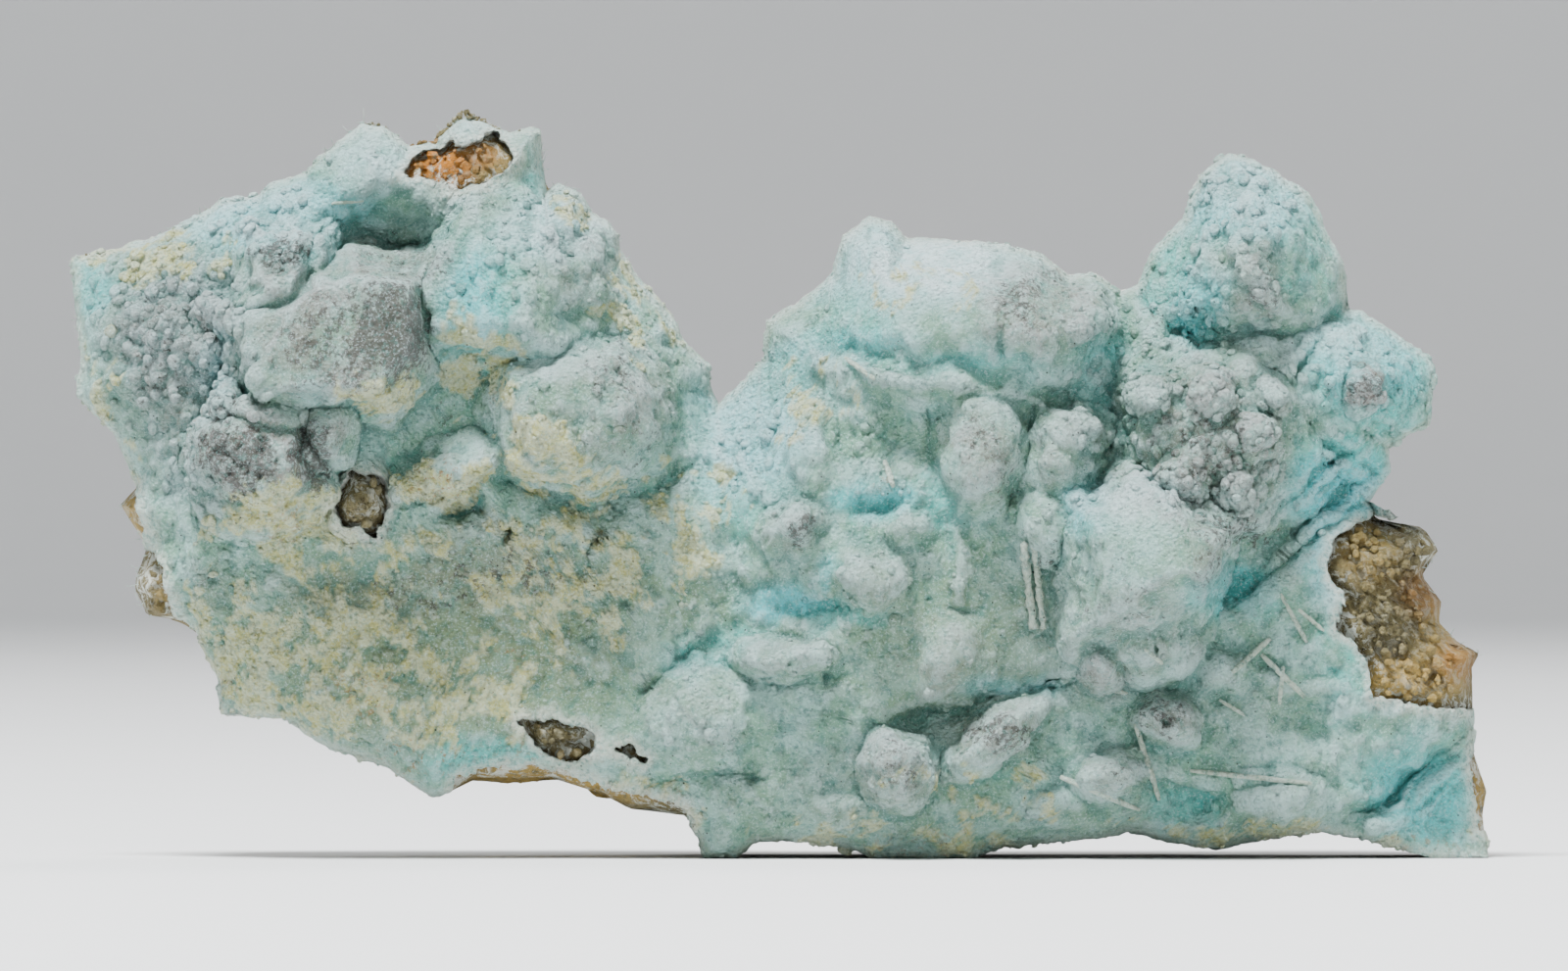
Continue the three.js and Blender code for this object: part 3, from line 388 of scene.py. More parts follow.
GREY_ZONES = [
    [-44.8, 53, 11, 8.5, 0.85], [-39.6, 53, 5, 6, 0.6], [-50, 59, 4.2, 5.4, 0.7],
    [-52.6, 41, 8, 6.4, 1.0], [-46.6, 44, 4, 4.6, 0.7], [-61, 51, 9, 11, 0.5], [-41, 60.6, 9, 5, 0.7],
    [-19, 60, 5, 6, 0.5], [-15.6, 47.4, 6, 7, 0.6], [-22, 46, 10, 9, 0.3], [26, 56, 8, 6, 0.8],
    [20.5, 42, 5, 6.6, 0.65], [28.4, 41, 4.6, 6, 0.4], [1.6, 34, 3.6, 3.6, 0.45], [9.4, 28.6, 5, 4, 0.15],
    [43, 30, 2.4, 5, 0.5], [38, 24, 6, 5, 0.5], [44, 42, 9.5, 11.5, 0.8], [59.3, 47.8, 2.9, 3.2, 1.0],
    [49, 59, 2.6, 6, 0.6], [44, 69, 4, 3, 0.3], [-0.4, 20.4, 6, 2.8, 0.3], [11.4, 9.6, 5, 5, 0.5],
    [21.8, 12.8, 7, 3.6, 0.6], [34, 9, 5, 3.4, 0.35], [33, 19, 4, 4, 0.6], [40, 15, 5, 4, 0.55],
    [-8, 14, 7, 6, 0.2], [-28, 29, 12, 5, 0.45], [-42, 27, 10, 4, 0.4], [33, 45, 4, 8, 0.45],
    [17, 21, 6, 6, 0.25], [48, 14, 6, 5, 0.25], [62, 12, 6, 4, 0.2], [-58, 28, 3, 3, 0.4],
]
SAGE_ZONES = [
    [-34, 22, 28, 15, 1.0], [-14, 26, 12, 10, 0.6], [18, 22, 16, 12, 0.6], [-50, 36, 9, 5, 0.4],
    [-22, 42, 9, 6, 0.35], [8, 6, 20, 5, 0.35], [40, 3, 20, 3, 0.3],
]
TURQUOISE_ZONES = [
    [-3.6, 39, 6, 10, 0.5], [9.4, 36, 5.4, 3.4, 0.6], [4.0, 25.2, 7, 2.8, 0.6], [60.5, 49, 9, 8, 0.7],
    [57, 38, 6.5, 7, 1.0], [40.4, 58, 5, 9, 0.55], [64.5, 7.5, 8, 7, 0.8], [41.5, 5.4, 7, 3.6, 0.5],
    [-30, 9.6, 8, 4.4, 0.7], [-30, 56.5, 4.6, 8, 0.6], [-70, 58, 3, 5, 0.5], [-53, 64.5, 10, 4, 0.4],
    [53, 62, 6, 8, 0.35], [20, 51.5, 12, 2.4, 0.3], [8, 53, 7, 6, 0.4], [32, 49, 4, 8, 0.4],
    [-24.5, 69, 1.6, 4, 0.5], [59, 20, 6, 10, 0.45], [46, 27, 7, 4, 0.55], [-27, 52, 5, 3, 0.4],
    [-6, 22, 8, 3, 0.35], [-40, 30, 4, 2, 0.2], [16, 36, 3, 5, 0.4], [-58, 45, 4, 4, 0.3],
]
# Where the crust is whiter: its own white crumbly parts, and painted highlights on tops that face the light,
# [x, z, half width, half height, strength]
WHITE_AND_HIGHLIGHT_ZONES = [
    [15, 60, 13, 4.4, 1.0], [-3, 42, 7, 8, 0.5], [-22, 64, 8, 5, 0.5], [-53, 65, 10, 4, 0.5],
    [36, 36.6, 6, 3, 0.7], [47, 68, 7, 5, 0.45], [-40, 71, 6, 4, 0.5], [-46, 57, 7, 2.4, 0.4],
    [58, 52, 7, 3, 0.35], [-22, 51, 8, 3, 0.35], [7, 63, 4, 3, 0.7], [50, 52, 6, 3, 0.3],
    [-34, 73, 8, 2.6, 0.5], [57, 29, 2.6, 6, 0.6], [60, 15.6, 6, 1.6, 0.6],
]
LAVENDER_ZONES = [[-61, 53, 10, 12, 0.8], [-60, 40, 6, 8, 0.5], [9, 8, 8, 6, 0.3], [30, 25, 10, 12, 0.25]]
SKY_ZONES = [
    [-53, 64.5, 9, 4, 0.9], [-48, 62, 4, 3, 0.6], [-31.5, 57, 4.4, 7, 0.7], [-24, 63.6, 7, 4, 0.5],
    [-3, 43, 7, 8, 0.9], [-6, 46, 3, 3, 0.9], [0, 49.4, 5, 4, 0.5], [8, 52.6, 7, 2.4, 0.5],
    [20, 50, 10, 2, 0.4], [3, 51.4, 4, 3, 0.6], [9.4, 36.6, 5, 2.8, 0.7], [0.4, 26, 6, 2.6, 0.9],
    [5.2, 29, 1.4, 3, 0.6], [31, 36, 3, 4, 0.7], [47, 67, 8, 6, 0.9], [43, 56, 4, 5, 0.7],
    [33, 50, 3, 6, 0.4], [24, 17.4, 6, 1.4, 0.6], [-9, 20, 4, 2, 0.4], [12, 60, 15, 5, 0.7],
    [65, 6, 7, 6, 0.6], [-48, 66, 8, 5, 0.7], [-70, 57, 2.4, 4, 0.4], [-41, 70, 6, 4, 0.3],
    [56, 32, 4, 7, 0.9], [57, 37.4, 7, 5, 1.0], [60, 51, 9, 6, 0.7],
    [38, 37.4, 4, 1.4, 0.5], [-57, 50, 2.4, 5, 0.5], [-47, 48, 2, 3, 0.4], [46, 27.6, 5, 3, 0.5],
]
# Where dark grains of dirt and manganese lie on the crust
SOOT_ZONES = [
    [-39.4, 53.6, 4.8, 6, 1.3], [-44, 52, 9, 6.4, 0.75], [-50.8, 61.6, 3.4, 2.2, 0.85],
    [-54.4, 40.4, 5.4, 4.8, 1.1], [-47.4, 41, 2.6, 4.5, 1.0], [-56, 44.4, 2.5, 3, 0.6],
    [-38.5, 60, 7, 3.4, 0.5], [24.4, 56.4, 3.4, 3.4, 0.7], [27.6, 59.4, 2, 1.6, 0.7],
    [20.6, 42, 3.6, 5, 0.45], [22.4, 38.6, 2, 4, 0.45], [43, 41, 7, 8, 0.5], [46, 33.6, 5.4, 3, 0.6],
    [12, 9, 3, 4, 0.55], [22, 13, 4.4, 2.4, 0.8], [59.3, 47.8, 2.2, 2.2, 0.7],
    [43, 30, 1.6, 3.4, 0.5], [34, 8.6, 3, 2, 0.4],
    [-28, 29, 9, 3.6, 0.5], [-36, 27, 9, 3, 0.45], [-17, 50, 5, 4, 0.45], [-15, 42, 4, 4, 0.35],
    [2.2, 33.6, 1.6, 2.4, 0.8], [49, 58, 2, 4, 0.5], [39, 14.4, 3, 3, 0.6], [-58, 28.6, 2.4, 2.4, 0.4],
    [-62, 52, 7, 9, 0.3], [35, 24, 6, 8, 0.3], [-34, 44, 3, 4, 0.35], [27, 31, 2, 3, 0.5],
    [-42, 34, 3, 3, 0.5], [9, 60, 2, 2, 0.2], [38.4, 55, 2.4, 3, 0.5],
]

# Hollow casts of needles that lie on the crust: two ends [x, z], and the width
NEEDLE_CASTS = [
    [[45.9, 19.0], [49.8, 22.4], 0.55], [[48.9, 20.8], [53.3, 16.4], 0.5],
    [[50.8, 27.0], [53.5, 22.0], 0.45], [[50.7, 15.7], [51.1, 19.6], 0.4],
    [[36.0, 13.8], [38.5, 6.0], 0.5], [[28.4, 8.4], [36.5, 5.0], 0.55],
    [[41.6, 9.0], [53.9, 7.7], 0.45], [[33.1, 17.3], [35.4, 16.8], 0.4],
    [[36.9, 21.4], [38.7, 19.9], 0.4], [[10.6, 40.5], [11.5, 37.8], 0.5],
    [[52.6, 25.4], [55.2, 23.2], 0.35], [[44.6, 16.2], [47.2, 14.6], 0.35],
    [[-45.6, 66.6], [-42.4, 66.9], 0.3], [[6.6, 50.9], [9.6, 48.7], 0.45],
]
LONG_CAST = [[25.2, 32.0], [26.2, 23.4], 1.25]


# Places where the crust is smoother, and where it is crumbly, [x, z, half width, half height, strength]
SMOOTH_ZONES = [
    [13, 59, 13, 5, 1.0], [20, 57, 9, 6, 0.6], [17, 21, 5, 5, 0.6],
    [-44.8, 53, 9.4, 7, 1.0], [-26, 72, 2, 4, 0.7],
    [38.4, 31.4, 7.4, 5.6, 1.2], [66.5, 7, 6, 6, 0.6], [20.5, 42, 4.6, 6, 0.6], [-52, 41, 6, 5, 0.5],
    [9, 64, 3, 3, 0.7], [58, 37, 5, 5, 0.5], [-7, 15, 5, 4, 0.4], [-40, 60, 8, 4, 0.5],
]
CRUMBLY_ZONES = [
    [-3, 42, 8, 10, 1.0], [-22, 28, 12, 9, 0.8], [-42, 18, 16, 8, 0.7], [-12, 36, 8, 6, 0.8],
    [10, 48, 12, 4, 0.7], [34, 50, 6, 8, 0.5], [56, 16, 10, 8, 0.4], [-26, 52, 8, 5, 0.6],
    [46, 66, 8, 8, 0.4], [4, 10, 14, 8, 0.5], [-8, 26, 10, 5, 0.6], [60, 3, 12, 3, 0.6],
]
# How high the bubbles of each size are outside the places listed above
BUBBLES_EVERYWHERE = {0.95: 0.06, 1.5: 0.12, 2.3: 0.16, 4.0: 0.2}
BUBBLE_HEIGHT = 1.45
# The pale yellow film: size in mm, weight and seed of its pattern, where it sets in, its thickness and grain
FILM_PATTERN = [(3.6, 0.6, 73), (0.9, 0.34, 77)]
FILM_STARTS = (0.82, 0.98)
FILM_THICKNESS = 0.16
FILM_GRAIN = 0.1
# The crust's rim: share of the bumps left there, width in mm, and how far wear moves it along x and z
BUMPS_AT_RIM = 0.35
RIM_WIDTH = 2
RIM_WEAR = (0.3, 0.6)
MIDDLE_HEIGHT = 30
# Chips of the crust's edge: how wide the worn rim is, and how far chips and notches go in, in mm
WORN_WIDTH = 2.5
CHIP_DEPTH = 0.28
NOTCH_DEPTH = 0.3

# The rock's back: flat broken facets, each (depth behind the middle, slope along x, slope along z)
BACK_FACETS = [
    (19.5, 0.1, -0.06), (24, -0.16, -0.02), (22.5, 0.02, -0.2),
    (15.5, 0.03, 0.22), (26, 0.24, 0.04), (31, -0.02, -0.36),
]
# Where the rock's mesh is finer, [middle, half width, how much] as shares of its width and height
ROCK_CROWDED_COLUMNS = [(0.95, 0.09, 2.2), (0.31, 0.09, 1.4), (0.05, 0.06, 0.8)]
ROCK_CROWDED_ROWS = [(0.97, 0.08, 1.2), (0.35, 0.3, 0.8)]
# How far behind the crust's rim the rock stays, in mm, and where it shows past it: x, z, half sizes
HIDDEN_ROCK = 0.25
ROCK_SHOWS = [
    (-33.0, 73.6, 4.0, 2.4), (-22.0, 67.0, 3.2, 2.6), (-41.5, 74.6, 1.6, 1.4), (-66.4, 34.4, 3.0, 4.4),
    (-63.0, 26.4, 4.4, 4.6), (-20.0, 6.4, 13.0, 3.0), (70.0, 18.0, 4.0, 4.6), (66.0, 29.4, 6.0, 6.0),
    (71.8, 6.8, 1.6, 5.0), (-57.2, 16.6, 1.6, 2.0),
]
ROCK_SLACK = 1.6
# Colours of the rock by place, [x, z, half width, half height, strength]
RUST_ZONES = [[-35, 70.6, 5, 3, 1.0], [-31, 71.6, 3, 2, 0.6], [66, 27, 4, 3, 0.35], [69, 20, 3, 3, 0.45]]
ROCK_OCHRE_ZONES = [
    [-29, 70.6, 3, 3, 0.5], [64, 18, 7, 3.4, 0.9], [60, 31, 4, 4, 0.5], [68, 23, 4, 4, 0.6],
    [-20, 8, 16, 3, 1.0], [72, 6, 3, 6, 0.9], [-65, 35, 4, 4, 0.8], [-62, 27, 3, 3, 0.4],
]
ROCK_WHITE_ZONES = [
    [-24.0, 70.4, 1.8, 3.4, 1.0], [-65, 27.6, 1.6, 2.6, 0.9], [-64.6, 33, 1.0, 2, 0.6],
    [62, 33.6, 4, 1.4, 0.6], [65.6, 31, 1.6, 2.4, 0.7],
]
# Crumbs of limonite on the top edge: [x, spread across, height of the heap, how many, largest size]
CRUMB_HEAPS = [
    [-32.2, 3.4, 0.9, 230, 0.42], [-36.6, 1.6, 0.5, 60, 0.35], [-41.5, 1.4, 0.35, 36, 0.3],
    [-57.6, 1.0, 0.2, 12, 0.25], [-71.0, 0.9, 0.15, 12, 0.25], [-27.6, 1.0, 0.3, 20, 0.28],
]
# How many crumbs lie on the bare rock, and how many places are tried for them
PATCH_CRUMBS = 200
CRUMB_TRIES = 20000
CRUMB_WHITE_ABOVE = 74
CRUMB_ROUGHNESS = 0.28
PATCH_CRUMB_SIZES = (0.22, 0.7)
# Tufts of fibres: [x, z, how far from there along the rim, how many, longest]
FIBRE_TUFTS = [
    [-44.6, 73.0, 3.0, 18, 1.3], [-39.6, 74.0, 2.6, 10, 1.0], [-24.4, 69.5, 2.6, 26, 1.5],
    [-31.6, 75.0, 3.6, 34, 1.0], [-66, 27, 3.0, 14, 1.1], [-66, 33, 3.4, 10, 0.9],
    [-71.8, 55.0, 5.0, 8, 0.8], [-60.0, 65.0, 5.0, 10, 0.8], [-70.5, 61.6, 2.0, 8, 1.1],
    [-16.4, 63.0, 2.6, 8, 0.8], [-10.4, 54.0, 4.0, 8, 0.7], [69.6, 22.4, 2.6, 8, 0.9],
    [66.4, 30, 3.0, 6, 0.8],
]
# Points along a needle cast and along the long one, and how far each sinks into the crust, in mm
CAST_STEPS = 14
CAST_SINK = -0.45
LONG_CAST_STEPS = 26
LONG_CAST_SINK = -0.55
FIBRE_STEPS = 6
FIBRE_RADII = (0.05, 0.022)

# Colours
PALE_AQUA = (170, 214, 204)
MINT = (134, 182, 156)
SAGE = (130, 150, 110)
TURQUOISE = (84, 212, 204)
SKY = (96, 218, 230)
# DEEP_TEAL is also the painted shade in hollows and creases, and SNOW_BLUE the painted highlight
DEEP_TEAL = (66, 134, 124)
SNOW_BLUE = (226, 252, 255)
WARM_GREY = (146, 140, 132)
DARK_SPECK = (44, 42, 40)
DIRT = (76, 72, 66)
LAVENDER = (148, 160, 172)
CREAM = (214, 220, 176)
YELLOW_FILM = (206, 204, 130)
OCHRE = (166, 112, 34)
CHALK = (236, 240, 230)
EDGE_TONE = (222, 230, 216)
ROCK_OLIVE = (104, 98, 72)
ROCK_TAN = (138, 128, 90)
ROCK_DARK = (66, 60, 44)
ROCK_OCHRE = (180, 150, 82)
ROCK_ORANGE = (176, 112, 38)
ROCK_GLINT = (210, 182, 126)
ROCK_WHITE = (224, 230, 220)
FLOOR_TONES = ((226, 227, 228), (230, 230, 230))

# The setting, in metres
FLOOR_RADIUS = 5.0
FLOOR_FLAT = 3.6
FLOOR_TURNS = 96
CAMERA_DISTANCE = 2.0
PICTURE_WIDTH = 0.160
PICTURE_MIDDLE = (0.0004, 0.03795)
SENSOR_WIDTH = 36
# Area lights: place, width and height, power, colour
LIGHTS = {
    "key_light": ((-0.45, -0.75, 2.2), (0.7, 0.6), 165, (0.96, 0.98, 0.99)),
    "front_light": ((0.6, -2.6, 0.7), (1.2, 0.8), 13, (1.0, 0.98, 0.93)),
    "back_light": ((0.8, 1.8, 1.8), (1.4, 1.0), 28, (1.0, 1.0, 1.0)),
}
LIT_PLACE = (0, 0, 0.035)
WORLD_COLOUR = (0.94, 0.97, 0.98, 1)
WORLD_STRENGTH = 0.5

# How far out, in half sizes, a lump or hollow still acts
FORM_LIMIT = 1.6
# How the borders of the forms wander: size in mm, amount in mm, seed
FORM_WANDER = [(5.0, 0.8, 21), (2.0, 0.3, 23)]
COLOUR_WANDER = [(4.0, 1.2, 81), (1.4, 0.5, 83)]
# Relief that gives the full colour of a hollow (turquoise tint and painted shade) or crest (painted highlight
# and grey), and rounds of smoothing that it is measured against
RELIEF_FOR_COLOUR = 1.8
RELIEF_ROUNDS = 40
# Relief that gives the full painted shade of a fine crease and the full painted highlight of a fine knob, and
# rounds of smoothing that it is measured against
CREASE_RELIEF = 0.22
CREASE_ROUNDS = 5
# The crust's general roughness: size in mm, height in mm, seed, and whether smooth places have less of it
CRUST_ROUGHNESS = [(5.2, 0.5, 1, False), (2.4, 0.36, 2, True), (1.1, 0.24, 3, True), (0.62, 0.14, 4, True)]
SMOOTHING_OF_SMOOTH_PLACES = 0.8
# Scoops broken out of the rock: size in mm, depth in mm, share of the wander, seed
ROCK_SCOOPS = [(13.0, 3.4, 1.0, 112), (5.0, 1.5, 0.6, 113), (2.3, 0.7, 0.0, 114)]
SCOOP_LEVEL = 2.8
# How far the rock's sides are scooped, as a share of its back
SIDE_SHARE = 0.7
# Where the rock is bare: the size, height and seed of its swell, its facets and its pits
PATCH_SWELL = (3.2, 0.7, 117)
PATCH_FACETS = [(3.0, 1.3, 118), (1.3, 0.6, 119)]
PATCH_PITS = (3.2, 2.6, 116)
# Domes of crust: least and greatest radius as a share of their spacing
DOME_RADIUS = (0.32, 0.62)
# How uneven a dome is, how it is stretched, and how much it is flattened and lifted
DOME_ROUGHNESS = 0.14
DOME_STRETCH = (0.8, 1.2)
DOME_FLATTENING = 0.35
DOME_LIFT = 0.05
CRUMB_SPACING = 0.62
BUBBLE_SPACING = 1.2


# Noise

def random_numbers(cell, seed):
    """A repeatable random number from 0 to 1 for each whole-numbered cell (..., 3)"""
    mask = 0xFFFFFFFF
    mixed = cell[..., 0] * 374761393 + cell[..., 1] * 668265263 + cell[..., 2] * 1442695041
    mixed = (mixed + seed * 362437) & mask
    mixed = ((mixed ^ (mixed >> 13)) * 1274126177) & mask
    mixed = ((mixed ^ (mixed >> 15)) * 974711) & mask
    return ((mixed ^ (mixed >> 16)) & mask) / mask


def random_vectors(cell, seed):
    """Three random numbers from -1 to 1 for each cell"""
    return np.stack([random_numbers(cell, 3 * seed + k) for k in range(3)], axis=-1) * 2 - 1


def noise(points, size, seed=0):
    """Smooth noise from about -1 to 1, with features of a given size in mm"""
    scaled = points / size
    cell = np.floor(scaled).astype(np.int64)
    inside = scaled - cell
    blend = inside ** 3 * (inside * (inside * 6 - 15) + 10)
    total = np.zeros(points.shape[:-1])
    for corner in itertools.product((0, 1), repeat=3):
        corner = np.array(corner)
        weight = np.prod(np.where(corner == 1, blend, 1 - blend), axis=-1)
        total += weight * np.sum(random_vectors(cell + corner, seed) * (inside - corner), axis=-1)
    return total * 1.7


def layered_noise(points, size, seed=0, layers=3):
    """Noise with finer layers on it, each half as large and half as high as the last"""
    return sum(noise(points, size / 2 ** k, seed + k) / 2 ** k for k in range(layers))


def nearest_seed(points, spacing, seed=0):
    """The distance to the nearest of scattered seeds, the way to it and its cell, in spacings"""
    scaled = points / spacing
    cell = np.floor(scaled).astype(np.int64)
    best = np.full(points.shape[:-1], np.inf)
    way = np.zeros(points.shape)
    owner = np.zeros(points.shape, dtype=np.int64)
    for offset in itertools.product((-1, 0, 1), repeat=3):
        other = cell + np.array(offset)
        step = scaled - other - (0.5 + 0.45 * random_vectors(other, seed))
        distance = np.linalg.norm(step, axis=-1)
        closer = distance < best
        best = np.where(closer, distance, best)
        way = np.where(closer[..., None], step, way)
        owner = np.where(closer[..., None], other, owner)
    return best, way, owner


def bubbles(points, size, seed=0):
    """Round domes packed side by side, from 0 between them to about 1 on the largest"""
    distance, _, owner = nearest_seed(points, size, seed)
    largest = 0.55 + 0.45 * random_numbers(owner, seed + 11)
    return np.clip(1 - (distance / 0.72) ** 2, -0.3, 1) * largest


def noise_vectors(points, size, seed):
    """Three smooth noises for each point, as a way to move it"""
    return np.stack([noise(points, size, seed + axis) for axis in range(3)], axis=-1)


def broken_facets(points, size, seed=0):
    """Flat tilted facets that meet in sharp edges, from about -0.5 to 0.5"""
    _, way, owner = nearest_seed(points, size, seed)
    return np.sum(way * random_vectors(owner, seed + 7), axis=-1)


# Small helpers

def lerp(a, b, t):
    return a + (b - a) * t


def flat_points(x, z):
    """Places seen from the front, as points of one upright plane"""
    return np.stack([x, np.zeros_like(x), z], axis=-1)


def smooth_step(value, low, high):
    t = np.clip((value - low) / (high - low), 0, 1)
    return t * t * (3 - 2 * t)


def fade(t):
    """1 at 0, falling smoothly to 0 at 1"""
    return (1 - np.clip(t, 0, 1) ** 2) ** 2


def soft_max(a, b, blend):
    """The larger of two heights, with their crease rounded"""
    h = np.clip(blend - np.abs(a - b), 0, None) / blend
    return np.maximum(a, b) + h * h * blend / 4


def soft_min(a, b, blend):
    return -soft_max(-a, -b, blend)


def oval_distance(x, z, centre, extents, turn_degrees):
    """0 at the centre of an uneven oval and 1 at its edge"""
    left, right, down, up = extents
    turn = math.radians(turn_degrees)
    dx = (x - centre[0]) * math.cos(turn) + (z - centre[1]) * math.sin(turn)
    dz = (z - centre[1]) * math.cos(turn) - (x - centre[0]) * math.sin(turn)
    return np.hypot(dx / np.where(dx < 0, left, right), dz / np.where(dz < 0, down, up))


def line_distance(x, z, points):
    """The distance to a polyline"""
    best = np.full(np.shape(x), np.inf)
    for (ax, az), (bx, bz) in zip(points, points[1:]):
        ex, ez = bx - ax, bz - az
        t = np.clip(((x - ax) * ex + (z - az) * ez) / (ex * ex + ez * ez), 0, 1)
        best = np.minimum(best, np.hypot(x - ax - t * ex, z - az - t * ez))
    return best


def inside_outline(x, z, outline):
    """Whether points lie inside a closed outline"""
    inside = np.zeros(np.shape(x), dtype=bool)
    for (ax, az), (bx, bz) in zip(outline, outline[1:] + outline[:1]):
        if az == bz:
            continue
        crosses = (az > z) != (bz > z)
        inside ^= crosses & (x < ax + (bx - ax) * (z - az) / (bz - az))
    return inside


def zone(x, z, ovals):
    """How strongly a place lies in any of some oval zones, from 0 to 1"""
    strength = np.zeros(np.shape(x))
    for cx, cz, wide, high, most in ovals:
        here = most * (1 - smooth_step(np.hypot((x - cx) / wide, (z - cz) / high), 0.35, 1.15))
        strength = np.maximum(strength, here)
    return strength


# The outline and the face

def point_at(edge, axis, stations):
    """The smoothed place on an edge at stations along x (0) or z (1), and the way to the true edge"""
    true, even = edge
    place = [np.interp(stations, even[:, axis], even[:, k]) for k in (0, 1)]
    away = [np.interp(stations, even[:, axis], true[:, k]) - place[k] for k in (0, 1)]
    return place, away


def smoothed_edge(edge):
    """An edge as many points, and the same ones smoothed with the ends kept"""
    points = np.array(edge, dtype=float)
    station = np.concatenate([[0], np.cumsum(np.hypot(*np.diff(points, axis=0).T))])
    even = np.linspace(0, station[-1], int(station[-1] / EDGE_STEP) + 1)
    true = np.stack([np.interp(even, station, points[:, k]) for k in (0, 1)], axis=-1)
    reach = int(3 * EDGE_SMOOTHING / EDGE_STEP)
    before = 2 * true[0] - true[reach:0:-1]
    after = 2 * true[-1] - true[-2:-reach - 2:-1]
    padded = np.concatenate([before, true, after])
    weights = np.exp(-0.5 * (np.arange(-reach, reach + 1) * EDGE_STEP / EDGE_SMOOTHING) ** 2)
    weights /= weights.sum()
    smooth = np.stack([np.convolve(padded[:, k], weights, mode="valid") for k in (0, 1)], axis=-1)
    return true, smooth


SMOOTHED = {
    "top": smoothed_edge(TOP_EDGE),
    "bottom": smoothed_edge(BOTTOM_EDGE),
    "left": smoothed_edge(LEFT_EDGE),
    "right": smoothed_edge(RIGHT_EDGE),
}


def crust_face():
    """The crust's finely bumped face as a grid, with what belongs to each of its points"""
    columns, rows = CRUST_GRID
    u, v = even_lattice(columns, rows)
    x, z = outline_place(u, v)
    quads = grid_quads(columns, rows)
    kept = without_single_points(patch_depth(smoothed_corners(x), smoothed_corners(z)) < 0)
    x, z = snapped_to_patches(x, z, kept, quads)
    reach = face_reach(x, z)
    base = np.stack([x, -reach, z], axis=-1)
    normals = grid_normals(base)
    film = cream_film(base, x, z)
    grain = film * (FILM_THICKNESS + FILM_GRAIN * noise(base, 0.7, 75))
    off_rim = np.clip(rim_distance(x, z) / RIM_WIDTH, 0, 1)
    height = crust_bumps(base, x, z) * lerp(BUMPS_AT_RIM, 1, off_rim) + grain
    points = base + normals * height[..., None]
    wear_x, wear_z = RIM_WEAR
    rim_way = np.stack([np.sign(x) * wear_x, np.zeros_like(x), wear_z * np.sign(z - MIDDLE_HEIGHT)], axis=-1)
    points -= rim_way * crust_edge_wear(x, z)[..., None]
    colouring = crust_colouring(x, z, reach, normals, film)
    # Painted shade in fine creases and painted highlight on fine knobs, from the relief against a lightly
    # smoothed copy
    fine_relief = (reach + height - smoothed(reach + height, CREASE_ROUNDS)) / CREASE_RELIEF
    colouring["crease"] = np.clip(-fine_relief, 0, 1)
    colouring["knob_highlight"] = np.clip(fine_relief, 0, 1)
    return {"points": points, "base": base, "normals": grid_normals(points), "quads": quads[kept],
            "colouring": colouring, "inside": patch_depth(x, z) < -0.3}


def column_x(edge, u):
    """The x of a column at a share u of the width"""
    (left_u, left_x), (right_u, right_x) = LEFT_STATION, RIGHT_STATION
    return np.interp(u, [0, left_u, right_u, 1], [edge[0][0], left_x, right_x, edge[-1][0]])


def outline_place(u, v):
    """The place in the outline of a share u of the width and v of the height"""
    low, low_away = point_at(SMOOTHED["bottom"], 0, column_x(BOTTOM_EDGE, u))
    high, high_away = point_at(SMOOTHED["top"], 0, column_x(TOP_EDGE, u))
    place = []
    for axis in (0, 1):
        rim = low_away[axis] * (1 - v) ** EDGE_GRIP + high_away[axis] * v ** EDGE_GRIP
        place.append(lerp(low[axis], high[axis], v) + rim)
    for edge, name, away in ((LEFT_EDGE, "left", u), (RIGHT_EDGE, "right", 1 - u)):
        pull = np.clip(1 - away / SIDE_REACH, 0, None) ** 2
        grip = (1 - away) ** SIDE_GRIP
        bottom, top = edge[0], edge[-1]
        side, side_away = point_at(SMOOTHED[name], 1, lerp(bottom[1], top[1], v))
        for axis in (0, 1):
            place[axis] = place[axis] + pull * (side[axis] - lerp(bottom[axis], top[axis], v))
            place[axis] = place[axis] + grip * side_away[axis]
    return place


def rim_distance(x, z):
    edges = (TOP_EDGE, BOTTOM_EDGE, LEFT_EDGE, RIGHT_EDGE)
    return np.min([line_distance(x, z, edge) for edge in edges], axis=0)


def edge_roll(x, z):
    """0 at the rim and 1 past the width over which the edge rolls, for the top, bottom and sides"""
    side = np.minimum(line_distance(x, z, LEFT_EDGE), line_distance(x, z, RIGHT_EDGE))
    top = np.clip(line_distance(x, z, TOP_EDGE) / ROLL_WIDTH["top"], 0, 1)
    bottom = np.clip(line_distance(x, z, BOTTOM_EDGE) / ROLL_WIDTH["bottom"], 0, 1)
    return top, bottom, np.clip(side / ROLL_WIDTH["side"], 0, 1)


def wandered(x, z, size, amount, seed):
    """Places moved about by noise, so that forms get uneven borders"""
    flat = flat_points(x, z)
    return x + amount * noise(flat, size, seed), z + amount * noise(flat, size, seed + 5)


def raised_lumps(reach, x, z, lumps):
    for name, (cx, cz, top, drop, extents, flat, turn) in lumps.items():
        r = oval_distance(x, z, (cx, cz), extents, turn)
        blend = CRISP_BLEND if name in CRISP_LUMPS else LUMP_BLEND
        reach = np.where(r < FORM_LIMIT, soft_max(reach, top - drop * r ** flat, blend), reach)
    return reach


def block_reach(x, z, planes):
    """How far forward an angular lump is: the hindmost of its planes"""
    heights = [height + ax * (x - px) + az * (z - pz) for px, pz, height, ax, az in planes]
    reach = heights[0]
    for other in heights[1:]:
        reach = soft_min(reach, other, BLOCK_BLEND)
    return reach


